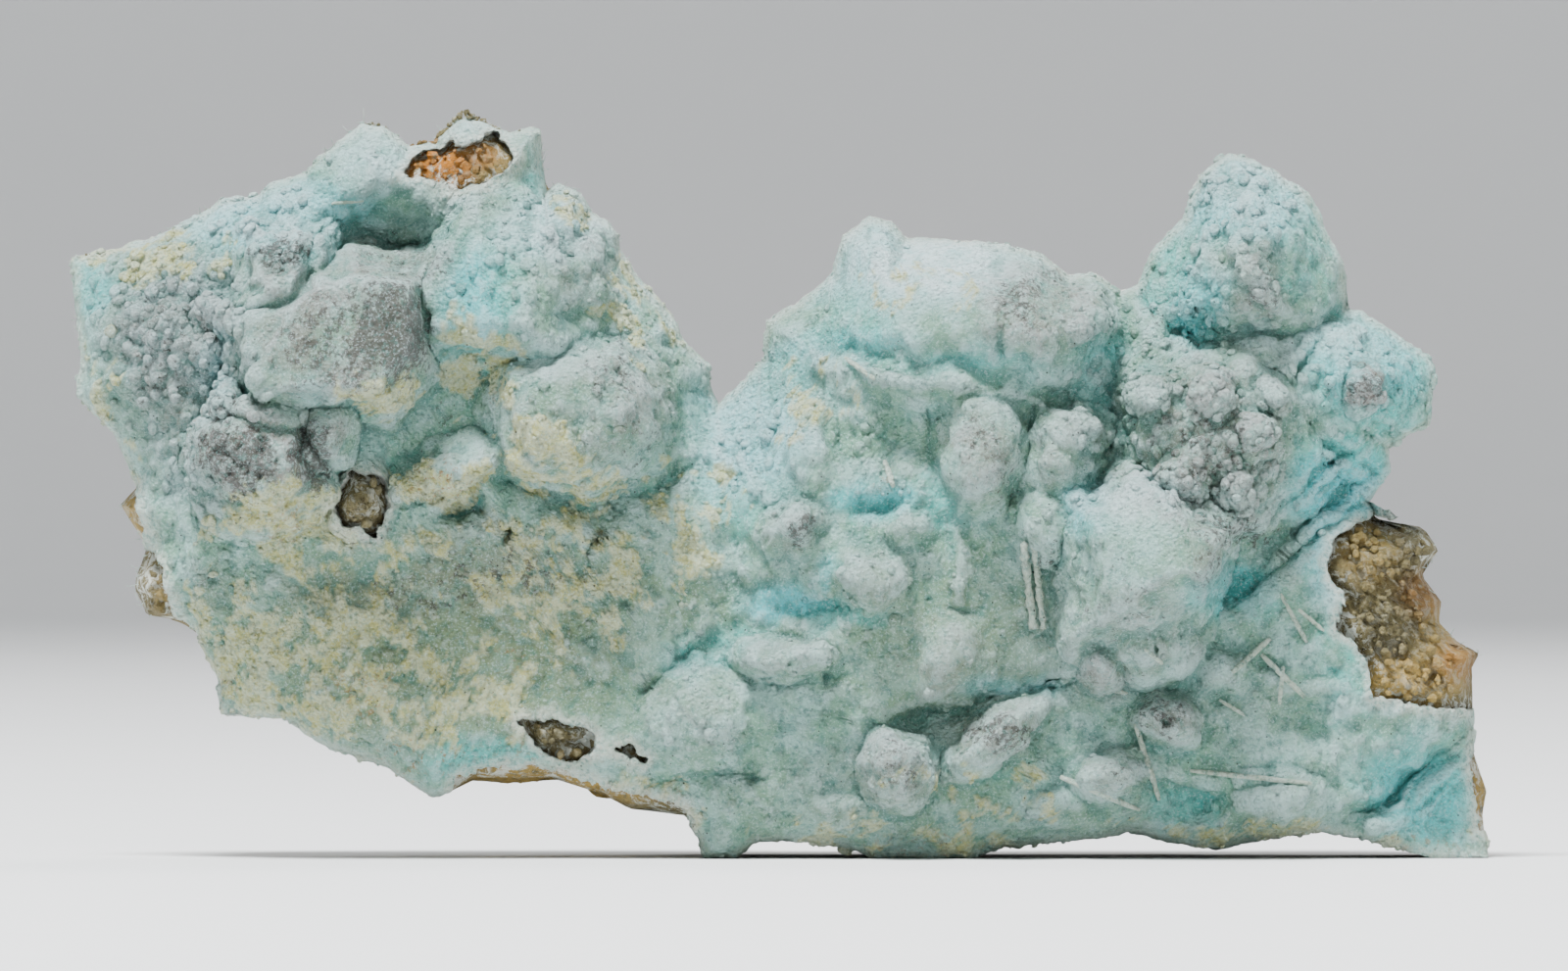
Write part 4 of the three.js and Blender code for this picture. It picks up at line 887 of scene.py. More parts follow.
def pitted(x, z):
    """How deep the scattered small pits are at a place"""
    random = np.random.default_rng(17)
    depth = np.zeros(np.shape(x))
    for cx, cz, wide, high, count, largest in PITTED_PLACES:
        for _ in range(count):
            px, pz = random.normal(cx, 0.45 * wide), random.normal(cz, 0.45 * high)
            radius = largest * random.uniform(0.5, 1)
            depth = np.maximum(depth, PIT_DEPTH * radius * fade(np.hypot(x - px, z - pz) / radius))
    return depth


def face_reach(x, z):
    """How far forward the crust's face is at a place in the outline"""
    reach = np.full(np.shape(x), float(CROWN_REACH))
    for cx, cz, wide, high, rise in SWELLS:
        reach += rise * fade(np.hypot((x - cx) / wide, (z - cz) / high))
    wx, wz = x, z
    for size, amount, seed in FORM_WANDER:
        wx, wz = wandered(wx, wz, size, amount, seed)
    soft = {name: form for name, form in LUMPS.items() if name not in CRISP_LUMPS}
    crisp = {name: form for name, form in LUMPS.items() if name in CRISP_LUMPS}
    reach = raised_lumps(reach, wx, wz, soft)
    for cx, cz, floor, rise, extents, flat, turn in HOLLOWS.values():
        r = oval_distance(wx, wz, (cx, cz), extents, turn)
        reach = np.where(r < FORM_LIMIT, soft_min(reach, floor + rise * r ** flat, HOLLOW_BLEND), reach)
    reach = raised_lumps(reach, wx, wz, crisp | FINE_LUMPS)
    for planes in BLOCKS.values():
        reach = soft_max(reach, block_reach(wx, wz, planes), BLOCK_BLEND)
    for points, half_width, rise in (LINES | FINE_LINES).values():
        reach += rise * fade(line_distance(wx, wz, points) / half_width)
    for cx, cz, radius, depth in PITS:
        reach -= depth * fade(np.hypot(wx - cx, wz - cz) / radius)
    reach -= pitted(wx, wz)
    top, bottom, side = [np.sqrt(1 - (1 - t) ** 2) for t in edge_roll(x, z)]
    reach = lerp(RIM_REACH["top"], reach, top)
    reach = lerp(RIM_REACH["side"], reach, side)
    return lerp(RIM_REACH["bottom"], reach, bottom)


def least_reach(radius):
    """A map of how far forward the lowest part of the face within a distance is"""
    x, z = np.meshgrid(np.arange(*MAP_X, MAP_STEP), np.arange(*MAP_Z, MAP_STEP), indexing="ij")
    reach = np.where(inside_outline(x, z, WHOLE_OUTLINE), face_reach(x, z), np.inf)
    for _ in range(round(radius / MAP_STEP)):
        for axis in (0, 1):
            reach = np.min([np.roll(reach, step, axis) for step in (-1, 0, 1)], axis=0)
    return np.where(np.isinf(reach), RIM_REACH["top"], reach)


def read_map(values, x, z):
    """The value of a map at places, mixed from the four values round each"""
    i = np.clip((x - MAP_X[0]) / MAP_STEP, 0, values.shape[0] - 1.001)
    j = np.clip((z - MAP_Z[0]) / MAP_STEP, 0, values.shape[1] - 1.001)
    i0, j0 = np.floor(i).astype(int), np.floor(j).astype(int)
    low = lerp(values[i0, j0], values[i0 + 1, j0], i - i0)
    high = lerp(values[i0, j0 + 1], values[i0 + 1, j0 + 1], i - i0)
    return lerp(low, high, j - j0)


def patch_depth(x, z):
    """How far inside a broken patch a place is, in mm, and below 0 outside"""
    depth = np.full(np.shape(x), -np.inf)
    for outline in BROKEN_PATCHES.values():
        distance = line_distance(x, z, outline + outline[:1])
        depth = np.maximum(depth, np.where(inside_outline(x, z, outline), distance, -distance))
    flat = flat_points(x, z)
    return depth + PATCH_RAGGEDNESS * layered_noise(flat, 2.2, 31)


# Grids

def lattice(columns, rows):
    return np.meshgrid(np.linspace(0, 1, columns + 1), np.linspace(0, 1, rows + 1), indexing="ij")


def respaced(values, length, axis, share):
    """Values along the lines of a grid, moved so that its points lie more evenly along the surface"""
    values, length = np.moveaxis(values, axis, 0), np.moveaxis(length, axis, 0)
    even = np.linspace(0, 1, len(values))
    result = np.empty_like(values)
    for line in range(values.shape[1]):
        station = np.concatenate([[0], np.cumsum(length[:, line])])
        station = lerp(even, station / station[-1], share)
        result[:, line] = np.interp(even, station, values[:, line])
    return np.moveaxis(result, 0, axis)


def smoothed(values, rounds, axes=(0, 1)):
    """Values on a grid, averaged with their neighbours a number of times"""
    for _ in range(rounds):
        for axis in axes:
            values = np.moveaxis(values, axis, 0)
            padded = np.concatenate([values[:1], values, values[-1:]])
            values = (padded[:-2] + 2 * padded[1:-1] + padded[2:]) / 4
            values = np.moveaxis(values, 0, axis)
    return values


def even_lattice(columns, rows):
    """Shares (u, v) of a grid whose points lie closer together where the face is steep"""
    u, v = lattice(columns, rows)
    for axis in (0, 1, 0):
        x, z = outline_place(u, v)
        face = np.stack([x, face_reach(x, z), z], axis=-1)
        length = np.linalg.norm(np.diff(face, axis=axis), axis=-1)
        for rounds, along in zip(GATHERING_ROUNDS, (1 - axis, axis)):
            length = smoothed(length, rounds, (along,))
        u, v = respaced(u, length, axis, GATHERING), respaced(v, length, axis, GATHERING)
    return u, v


def grid_normals(points):
    """Unit vectors out of the face of a grid of points"""
    normals = np.cross(np.gradient(points, axis=0), np.gradient(points, axis=1))
    return normals / np.linalg.norm(normals, axis=-1, keepdims=True)


def grid_quads(columns, rows):
    """The corners of each cell of a grid, counter-clockwise from the front"""
    index = np.arange((columns + 1) * (rows + 1)).reshape(columns + 1, rows + 1)
    return np.stack([index[:-1, :-1], index[1:, :-1], index[1:, 1:], index[:-1, 1:]], axis=-1)


def without_single_points(kept):
    """Also drops cells where two holes would touch in one point only"""
    while True:
        a, b, c, d = kept[:-1, :-1], kept[1:, :-1], kept[:-1, 1:], kept[1:, 1:]
        rising, falling = a & d & ~b & ~c, b & c & ~a & ~d
        if not (rising.any() or falling.any()):
            return kept
        kept[:-1, :-1] &= ~rising
        kept[1:, :-1] &= ~falling


# Meshes

def make_piece(name, points, faces, material, attributes=None, smooth=True):
    """A mesh object from points in mm, which rides on the stone"""
    mesh = bpy.data.meshes.new(name)
    mesh.from_pydata((np.asarray(points) * MM).tolist(), [], [list(face) for face in faces])
    for key, values in (attributes or {}).items():
        layer = mesh.attributes.new(key, "FLOAT", "POINT")
        layer.data.foreach_set("value", np.asarray(values, dtype=np.float32).ravel())
    mesh.materials.append(material)
    if smooth:
        mesh.shade_smooth()
    else:
        mesh.shade_flat()
    piece = bpy.data.objects.new(name, mesh)
    bpy.context.scene.collection.objects.link(piece)
    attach(piece, "root")
    return piece


def boundary_edges(faces):
    """The edges of quads that only one of them has, in that quad's direction"""
    starts = faces.ravel()
    ends = np.roll(faces, -1, axis=1).ravel()
    size = faces.max() + 1
    alone = ~np.isin(starts * size + ends, ends * size + starts)
    return np.stack([starts[alone], ends[alone]], axis=-1)


def ring_quads(edges, near, far):
    """Quads from each edge's points in one ring to those in the next"""
    a, b = edges[:, 0], edges[:, 1]
    return np.stack([near[b], near[a], far[a], far[b]], axis=-1)


def back_faces(rim_x, rim_z, rim_edges):
    """A coarse sheet inside the rim's edges: its new points and its triangles, seen from the front"""
    spacing = np.arange(-80, 80, BACK_SPACING)
    x, z = [grid.ravel() for grid in np.meshgrid(spacing, spacing)]
    clear = line_distance_to_points(x, z, rim_x, rim_z) > 0.6 * BACK_SPACING
    x, z = x[clear], z[clear]
    places = [Vector(place) for place in zip(np.concatenate([rim_x, x]), np.concatenate([rim_z, z]))]
    inside_with_holes = 2
    result = delaunay_2d_cdt(places, rim_edges.tolist(), [], inside_with_holes, 1e-6)
    return result[0], result[2], result[3]


def line_distance_to_points(x, z, other_x, other_z):
    """The distance from each place to the nearest of some others"""
    return np.array([np.hypot(other_x - px, other_z - pz).min() for px, pz in zip(x, z)])


# The crust

def crust_edge_wear(x, z):
    """How far a chipped edge moves the rim of the crust inwards, in mm"""
    flat = flat_points(x, z)
    near_rim = fade(rim_distance(x, z) / WORN_WIDTH)
    chips = CHIP_DEPTH * layered_noise(flat, 1.3, 61) + NOTCH_DEPTH * np.clip(noise(flat, 4.0, 67), 0, 1)
    return near_rim * chips


def crust_bumps(points, x, z):
    """How far the fine bumps stand out of the crust, in mm"""
    rough = np.clip(1 - SMOOTHING_OF_SMOOTH_PLACES * zone(x, z, SMOOTH_ZONES), 0, 1)
    bumps = np.zeros(x.shape)
    for size, height, seed, less_where_smooth in CRUST_ROUGHNESS:
        bumps += height * (rough if less_where_smooth else 1) * noise(points, size, seed)
    for k, (size, ovals) in enumerate(BUBBLES.items()):
        height = BUBBLES_EVERYWHERE[size] * rough
        for cx, cz, wide, high, most in ovals:
            here = most * fade(np.hypot((x - cx) / (1.3 * wide), (z - cz) / (1.3 * high)))
            height = np.maximum(height, here * rough)
        wander = noise_vectors(points, 3.0 * size, 40 + 3 * k)
        bumps += BUBBLE_HEIGHT * height * bubbles(points + 0.35 * size * wander, size, 50 + k)
    return bumps


def cream_film(points, x, z):
    """Where a crumbly pale yellow film lies on the crust, from 0 to 1"""
    strength = zone(*wandered(x, z, 6.0, 2.0, 71), CREAM_ZONES)
    pattern = 0.5 + sum(weight * layered_noise(points, size, seed, 2) for size, weight, seed in FILM_PATTERN)
    return smooth_step(pattern + 0.75 * strength, *FILM_STARTS) * (strength > 0.02)


def rock_limits(points):
    """Keeps the rock behind the crust's rim, but for the places where it shows past it"""
    x, z = points[:, 0], points[:, 2]
    shows = np.zeros(len(points))
    for cx, cz, wide, high in ROCK_SHOWS:
        shows = np.maximum(shows, fade(np.hypot((x - cx) / wide, (z - cz) / high) / 1.4))
    slack = ROCK_SLACK * shows - HIDDEN_ROCK * (1 - shows)
    for edge, sign in ((TOP_EDGE, 1), (BOTTOM_EDGE, -1)):
        line = np.array(edge)
        limit = np.interp(x, line[:, 0], line[:, 1]) + sign * slack
        within = (x > line[0, 0]) & (x < line[-1, 0])
        z = np.where(within, np.minimum(sign * z, sign * limit) * sign, z)
    for edge, sign in ((LEFT_EDGE, -1), (RIGHT_EDGE, 1)):
        line = np.array(edge)
        order = np.argsort(line[:, 1])
        limit = np.interp(z, line[order, 1], line[order, 0]) + sign * slack
        x = np.where(sign * x > sign * limit, limit, x)
    return np.stack([x, points[:, 1], z], axis=-1)


def crust_colouring(x, z, reach, normals, film):
    """The attributes that tell the crust's material what colour it has where, and where it paints shade into
    hollows and highlights onto crests and upward faces
    """
    wx, wz = x, z
    for size, amount, seed in COLOUR_WANDER:
        wx, wz = wandered(wx, wz, size, amount, seed)
    relief = (reach - smoothed(reach, RELIEF_ROUNDS)) / RELIEF_FOR_COLOUR
    return {
        # Turquoise tint and painted shade in hollows
        "hollow": np.clip(-relief, 0, 1),
        # Painted highlight and grey on crests
        "crest": np.clip(relief, 0, 1),
        # Painted light from above, stronger on faces that look up
        "painted_top_light": np.clip(normals[..., 2], -1, 1),
        "film": film,
        "grey": zone(wx, wz, GREY_ZONES),
        "sage": zone(wx, wz, SAGE_ZONES),
        "turquoise": zone(wx, wz, TURQUOISE_ZONES),
        "sky": zone(wx, wz, SKY_ZONES),
        "soot": zone(wx, wz, SOOT_ZONES),
        # The crust's own white parts, with painted highlights on tops that face the light
        "white": zone(wx, wz, WHITE_AND_HIGHLIGHT_ZONES),
        "lavender": zone(wx, wz, LAVENDER_ZONES),
        "ochre": zone(wx, wz, OCHRE_ZONES),
        "edge": np.maximum(0.7 * fade(rim_distance(x, z) / 1.2), fade(patch_depth(x, z) / -1.5)),
    }


def snapped_to_patches(x, z, kept, quads):
    """Places of the grid, with the edges of the holes moved onto the patches' ragged outlines"""
    on_kept = np.zeros(x.size, dtype=bool)
    on_kept[quads[kept].ravel()] = True
    on_gone = np.zeros(x.size, dtype=bool)
    on_gone[quads[~kept].ravel()] = True
    edge = (on_kept & on_gone).reshape(x.shape)
    step = 0.05
    depth = patch_depth(x[edge], z[edge])
    slope_x = (patch_depth(x[edge] + step, z[edge]) - depth) / step
    slope_z = (patch_depth(x[edge], z[edge] + step) - depth) / step
    steep = np.maximum(slope_x ** 2 + slope_z ** 2, 0.3)
    move = np.clip(depth / steep, -0.2, 0.2)
    x, z = x.copy(), z.copy()
    x[edge] -= move * slope_x
    z[edge] -= move * slope_z
    return x, z


def crust_piece(face, material):
    """The crust: its face with broken patches, its worn edges and its back"""
    return closed_crust(face["points"], face["base"], face["quads"], face["colouring"], material)


def ball(subdivisions):
    """The corners and triangles of a ball of radius 1"""
    mesh = bmesh.new()
    bmesh.ops.create_icosphere(mesh, subdivisions=subdivisions, radius=1)
    corners = np.array([corner.co[:] for corner in mesh.verts])
    triangles = np.array([[corner.index for corner in face.verts] for face in mesh.faces])
    mesh.free()
    return corners, triangles


def grain_places(points, size, seed, chance):
    """Points of the face that lie about a size apart, each taken with its own chance"""
    distance, _, owner = nearest_seed(points, size, seed)
    key = (owner[:, 0] * 4096 + owner[:, 1]) * 4096 + owner[:, 2]
    order = np.lexsort((distance, key))
    first = np.concatenate([[True], np.diff(key[order]) != 0])
    nearest = order[first]
    close = distance[nearest] < 0.45
    taken = random_numbers(owner[nearest], seed + 3) < chance[nearest]
    return nearest[close & taken]


def scattered_domes(name, face, size, seed, chance, subdivisions, material):
    """Many small domes of crust that grow out of its face"""
    points, normals = face["points"].reshape(-1, 3), face["normals"].reshape(-1, 3)
    places = grain_places(points, size, seed, np.where(face["inside"], chance, 0).ravel())
    random = np.random.default_rng(seed)
    corners, triangles = ball(subdivisions)
    radius = size * random.uniform(*DOME_RADIUS, len(places))
    way = corners[None] * (1 + DOME_ROUGHNESS * random.uniform(-1, 1, (len(places), len(corners), 1)))
    way *= random.uniform(*DOME_STRETCH, (len(places), 1, 3))
    out = normals[places][:, None]
    along = np.sum(way * out, axis=-1, keepdims=True)
    way -= DOME_FLATTENING * along * out
    domes = points[places][:, None] + radius[:, None, None] * (way + DOME_LIFT * out)
    domes += np.array([0, DEPTH_SHIFT, 0])
    domes[..., 2] = np.maximum(domes[..., 2], 0)
    faces = (triangles[None] + len(corners) * np.arange(len(places))[:, None, None]).reshape(-1, 3)
    colouring = {}
    for key, values in face["colouring"].items():
        colouring[key] = np.repeat(values.ravel()[places], len(corners))
    # The domes' tops get more crest: painted highlight, and a little more grey
    colouring["crest"] = colouring["crest"] + 0.5 * np.clip(along.ravel(), -1, 1)
    return make_piece(name, domes.reshape(-1, 3), faces.tolist(), material, colouring)


def crust_grains(face, material):
    """Crumbs of crust on its films and rough places, and clear round bubbles in its hollows"""
    points = face["base"]
    x, z = points[..., 0], points[..., 2]
    smooth = np.clip(1 - zone(x, z, SMOOTH_ZONES), 0, 1)
    patchy = smooth_step(noise(points, 4.0, 131), -0.1, 0.5)
    crumbs = (0.05 + 0.16 * patchy + 0.34 * face["colouring"]["film"]) * smooth
    crumbs += 0.3 * zone(*wandered(x, z, 4.0, 1.5, 133), CRUMBLY_ZONES) * patchy
    scattered_domes("crust_crumbs", face, CRUMB_SPACING, 141, crumbs, 1, material)
    height = np.zeros(x.shape)
    for ovals in BUBBLES.values():
        height = np.maximum(height, zone(*wandered(x, z, 4.0, 1.5, 135), ovals))
    clear = (1.5 * np.clip(height - 0.12, 0, 1) + 0.05 * patchy) * smooth
    scattered_domes("crust_bubbles", face, BUBBLE_SPACING, 151, clear, 2, material)


def smoothed_corners(values):
    """The mean of the four corners of each cell"""
    return (values[:-1, :-1] + values[1:, :-1] + values[:-1, 1:] + values[1:, 1:]) / 4


def closed_crust(points, base, faces, colouring, material):
    """Adds the broken edges and a coarse back to the crust's face, so that it is one closed body"""
    points, base = points.reshape(-1, 3), base.reshape(-1, 3)
    colouring = {key: values.ravel() for key, values in colouring.items()}
    edges = boundary_edges(faces)
    rim = np.unique(edges)
    depth = CRUST_THICKNESS + SEAM_GAP
    rings, walls, last = wall_rings(points, base, edges, rim, depth)
    sources = [np.arange(len(points))] + [rim] * WALL_STEPS
    order = np.full(len(points), -1)
    order[rim] = np.arange(len(rim))
    places, triangles, origins = back_faces(base[rim, 0], base[rim, 2], order[edges])
    first = sum(len(part) for part in rings)
    new_index, new_points = back_points(places, origins, last[rim], first, depth)
    rings.append(new_points)
    nearest_rim = rim[[np.hypot(*(base[rim][:, [0, 2]] - point[[0, 2]]).T).argmin() for point in new_points]]
    sources.append(nearest_rim)
    back = [[new_index[corner] for corner in reversed(triangle)] for triangle in triangles]
    return finished_crust(rings, sources, [faces] + walls, back, colouring, material)


def wall_rings(points, base, edges, rim, depth):
    """The face's points and the rings of the broken edge behind them, the quads between, and the last ring"""
    rings, walls = [points], []
    near = np.arange(len(points))
    for step in range(1, WALL_STEPS + 1):
        share = step / WALL_STEPS
        ring = lerp(points[rim], base[rim], share)
        ring[:, 1] = lerp(points[rim, 1], base[rim, 1] + depth, share)
        if step < WALL_STEPS:
            ring += WALL_ROUGHNESS * random_vectors(np.floor(ring * 3).astype(np.int64), 90)
        far = np.full(len(points), -1)
        far[rim] = sum(len(part) for part in rings) + np.arange(len(rim))
        walls.append(ring_quads(edges, near, far))
        rings.append(ring)
        near = far
    return rings, walls, near


def back_points(places, origins, rim_index, first, depth):
    """Where the corners of the back's triangles are: on the rim, or new ones behind the face"""
    index, fresh = [], []
    for place, origin in zip(places, origins):
        known = [k for k in origin if k < len(rim_index)]
        if known:
            index.append(rim_index[known[0]])
        else:
            index.append(first + len(fresh))
            fresh.append(place)
    x, z = np.array([[place[0], place[1]] for place in fresh]).T
    return index, np.stack([x, depth - read_map(least_reach(BACK_CLEARANCE), x, z), z], axis=-1)


def finished_crust(rings, sources, quads, back, colouring, material):
    """Drops the points that no face uses and makes the crust's object"""
    points = np.concatenate(rings)
    source = np.concatenate(sources)
    faces = [list(face) for part in quads for face in part] + back
    used = np.unique(np.concatenate([np.ravel(part) for part in quads] + [np.ravel(back)]))
    renumbered = np.full(len(points), -1)
    renumbered[used] = np.arange(len(used))
    faces = [renumbered[face].tolist() for face in faces]
    attributes = {key: values[source[used]] for key, values in colouring.items()}
    face_count = len(rings[0])
    attributes["broken"] = (used >= face_count).astype(float)
    points = points[used] + np.array([0, DEPTH_SHIFT, 0])
    points[:, 2] = np.maximum(points[:, 2], 0)
    return make_piece("crust_surface", points, faces, material, attributes)


# The limonite

def box_lattice(columns, rows, steps):
    """The surface of a box as whole-numbered corners (i, j, k) and its quads, facing out"""
    limits = np.array([columns, rows, steps])
    corners = []
    for fixed in range(3):
        a, b = [axis for axis in range(3) if axis != fixed]
        first, second = np.meshgrid(np.arange(limits[a]), np.arange(limits[b]), indexing="ij")
        for level in (0, limits[fixed]):
            quad = np.zeros(first.shape + (4, 3), dtype=np.int64)
            for corner, (da, db) in enumerate(((0, 0), (1, 0), (1, 1), (0, 1))):
                quad[..., corner, a] = first + da
                quad[..., corner, b] = second + db
                quad[..., corner, fixed] = level
            faces_away = (fixed == 1) == (level == 0)
            quad = quad.reshape(-1, 4, 3)
            corners.append(quad if faces_away else quad[:, ::-1])
    return merged_corners(np.concatenate(corners), limits)


def merged_corners(quads, limits):
    """Each corner once, and the quads as numbers of those"""
    key = (quads[..., 0] * (limits[1] + 1) + quads[..., 1]) * (limits[2] + 1) + quads[..., 2]
    _, first, index = np.unique(key.ravel(), return_index=True, return_inverse=True)
    return quads.reshape(-1, 3)[first], index.reshape(-1, 4)


def back_reach(x, z):
    """How far back the rock's broken back is"""
    facets = np.min([depth + ax * x + az * z for depth, ax, az in BACK_FACETS], axis=0)
    top, bottom, side = edge_roll(x, z)
    rim = np.minimum(top, side) * (0.4 + 0.6 * bottom)
    return lerp(BACK_RIM, facets, np.sqrt(rim))


def crowded_shares(count, stretches):
    """Shares from 0 to 1 that lie closer together in some stretches [middle, half width, how much]"""
    place = np.linspace(0, 1, 2001)
    crowd = 1 + sum(more * fade((place - middle) / half) for middle, half, more in stretches)
    total = np.cumsum(crowd)
    return np.interp(np.linspace(total[0], total[-1], count + 1), total, place)


def rock_piece(material):
    """The block of limonite: rough in the broken patches, with a broken back"""
    columns, rows, steps = ROCK_GRID
    corners, quads = box_lattice(columns, rows, steps)
    u = crowded_shares(columns, ROCK_CROWDED_COLUMNS)[corners[:, 0]]
    v = crowded_shares(rows, ROCK_CROWDED_ROWS)[corners[:, 1]]
    w = corners[:, 2] / steps
    x, z = outline_place(u, v)
    hidden = read_map(least_reach(ROCK_CLEARANCE), x, z)
    depth = patch_depth(x, z)
    reach = lerp(hidden, face_reach(x, z), smooth_step(depth, -2.0, -0.4))
    front = CRUST_THICKNESS + SEAM_GAP - reach
    y = lerp(front, back_reach(x, z), w)
    flat = np.stack([x, y, z], axis=-1)
    inward = w * (1 + 0.25 * noise(flat, 9, 101))
    low = z * (1 - BACK_LOWERING * inward)
    points = np.stack([x * (1 - BACK_NARROWING * inward), y, low], axis=-1)
    bare = np.clip(depth / 1.2, 0, 1) * (w == 0)
    side = ways_out(u, v, w)
    points = rock_limits(points + rock_roughness(points, w, bare, side, rim_distance(x, z)))
    points[:, 1] += DEPTH_SHIFT
    points[:, 2] = np.maximum(points[:, 2], 0)
    attributes = rock_colouring(x, z, w, depth, bare)
    return make_piece("limonite_block", points, quads, material, attributes)


def ways_out(u, v, w):
    """The way out of the rock at shares of its width, height and depth, 0 inside its front"""
    across = SIDE_SHARE * ((u == 1) * 1.0 - (u == 0))
    up = SIDE_SHARE * ((v == 1) * 1.0 - (v == 0))
    return np.stack([across, 1.0 * smooth_step(w, 0.6, 1.0), up], axis=-1)


def rock_colouring(x, z, w, depth, bare):
    """The attributes that tell the rock's material what colour it has where"""
    white_seams = fade((depth - 0.2) / 1.6) * (w < 0.08)
    return {
        "bare": bare,
        "rust": zone(x, z, RUST_ZONES) * (w < 0.4),
        "ochre": zone(x, z, ROCK_OCHRE_ZONES),
        "vein": np.maximum(white_seams, zone(x, z, ROCK_WHITE_ZONES) * (w < 0.6)),
    }


def scoops(points, size, seed):
    """Shallow scoops that meet in sharp ridges, from 0 to about 1"""
    return nearest_seed(points, size, seed)[0] ** 2


def rock_roughness(points, w, bare, side, from_rim):
    """How the rock's surface is moved: lumpy and pitted where it is bare, scooped on its sides and back"""
    off_front = smooth_step(w, 0.0, 0.12)[:, None]
    shove = noise_vectors(points, 5.0, 110)
    shove[:, 2] = np.where(side[:, 2] < 0, np.abs(shove[:, 2]), shove[:, 2])
    wander = noise_vectors(points, 2.0, 121)
    chips = 0.4 * layered_noise(points, 1.8, 115)
    for size, deep, share, seed in ROCK_SCOOPS:
        chips += deep * scoops(points + share * wander, size, seed)
    move = off_front * (0.45 * shove + side * (chips - SCOOP_LEVEL)[:, None])
    size, pit_depth, seed = PATCH_PITS
    pits = np.clip(0.75 - nearest_seed(points + 0.8 * wander, size, seed)[0], 0, 1)
    size, swell, seed = PATCH_SWELL
    lumps = swell * layered_noise(points, size, seed)
    for size, height, seed in PATCH_FACETS:
        lumps += height * broken_facets(points, size, seed)
    bulge = PATCH_BULGE * (0.35 + 0.65 * np.clip(from_rim / 2, 0, 1))
    move[:, 1] -= bare * (bulge + lumps - pit_depth * pits)
    return move


def crumb_heap(cx, wide, high, count, largest, random):
    """Crumbs piled along the top edge round a place"""
    edge = np.array(TOP_EDGE)
    parts = []
    for _ in range(count):
        x = cx + wide * random.uniform(-1, 1)
        rim = np.interp(x, edge[:, 0], edge[:, 1])
        size = largest * random.uniform(0.3, 1.0)
        lift = high * random.uniform(-1.2, 1) * (1 - abs(x - cx) / wide) - 0.3 * size
        place = np.array([x, DEPTH_SHIFT - RIM_REACH["top"] + random.uniform(-1.2, 1.8), rim + lift])
        parts.append(crumb(place, size, random))
    return parts


def patch_crumbs(count, random):
    """Crumbs on the bare rock of the broken patches"""
    x, z = random.uniform([-67, 8], [71, 74], (CRUMB_TRIES, 2)).T
    bare = inside_outline(x, z, WHOLE_OUTLINE) & (rim_distance(x, z) > 0.9) & (patch_depth(x, z) > 0.6)
    x, z = x[bare][:count], z[bare][:count]
    depth = CRUST_THICKNESS + SEAM_GAP - PATCH_BULGE + random.uniform(-1.0, 0.5, len(x))
    y = surface_y(x, z) + depth
    size = random.uniform(*PATCH_CRUMB_SIZES, len(x))
    return [crumb(place, radius, random) for place, radius in zip(np.stack([x, y, z], axis=-1), size)]


# Small things grown on the crust or fused to it

def surface_y(x, z):
    """How far forward the smooth crust is, in the frame of the stone"""
    return DEPTH_SHIFT - face_reach(np.atleast_1d(np.float64(x)), np.atleast_1d(np.float64(z)))


def tube(path, radii, sides, rough, random):
    """A rough rod along a path with closed ends: its points and faces"""
    path = np.asarray(path, dtype=float)
    along = np.gradient(path, axis=0)
    along /= np.linalg.norm(along, axis=1, keepdims=True)
    across = np.cross(along, [0.0, 1.0, 0.0])
    across /= np.linalg.norm(across, axis=1, keepdims=True)
    out = np.cross(across, along)
    angle = np.linspace(0, 2 * math.pi, sides, endpoint=False)
    circle = np.cos(angle)[None, :, None] * across[:, None] + np.sin(angle)[None, :, None] * out[:, None]
    radii = np.asarray(radii)[:, None, None] * (1 + rough * random.uniform(-1, 1, (len(path), sides, 1)))
    points = (path[:, None] + radii * circle).reshape(-1, 3)
    faces = []
    for ring in range(len(path) - 1):
        for side in range(sides):
            a, b = ring * sides + side, ring * sides + (side + 1) % sides
            faces.append([a, b, b + sides, a + sides])
    last = (len(path) - 1) * sides
    faces.append([side for side in reversed(range(sides))])
    faces.append([last + side for side in range(sides)])
    return points, faces


def joined(parts):
    """Several (points, faces) as one"""
    points, faces, count = [], [], 0
    for part_points, part_faces in parts:
        points.append(part_points)
        faces += [[corner + count for corner in face] for face in part_faces]
        count += len(part_points)
    return np.concatenate(points), faces


def lying_path(start, end, steps, sink):
    """A nearly straight path over the crust that rests on its high places"""
    t = np.linspace(0, 1, steps)
    x, z = lerp(start[0], end[0], t), lerp(start[1], end[1], t)
    ground = surface_y(x, z)
    slope = np.polyfit(t, ground, 1)
    straight = np.polyval(slope, t)
    rest = np.minimum(straight, ground) * 0.7 + ground * 0.3
    return np.stack([x, rest + sink, z], axis=-1)


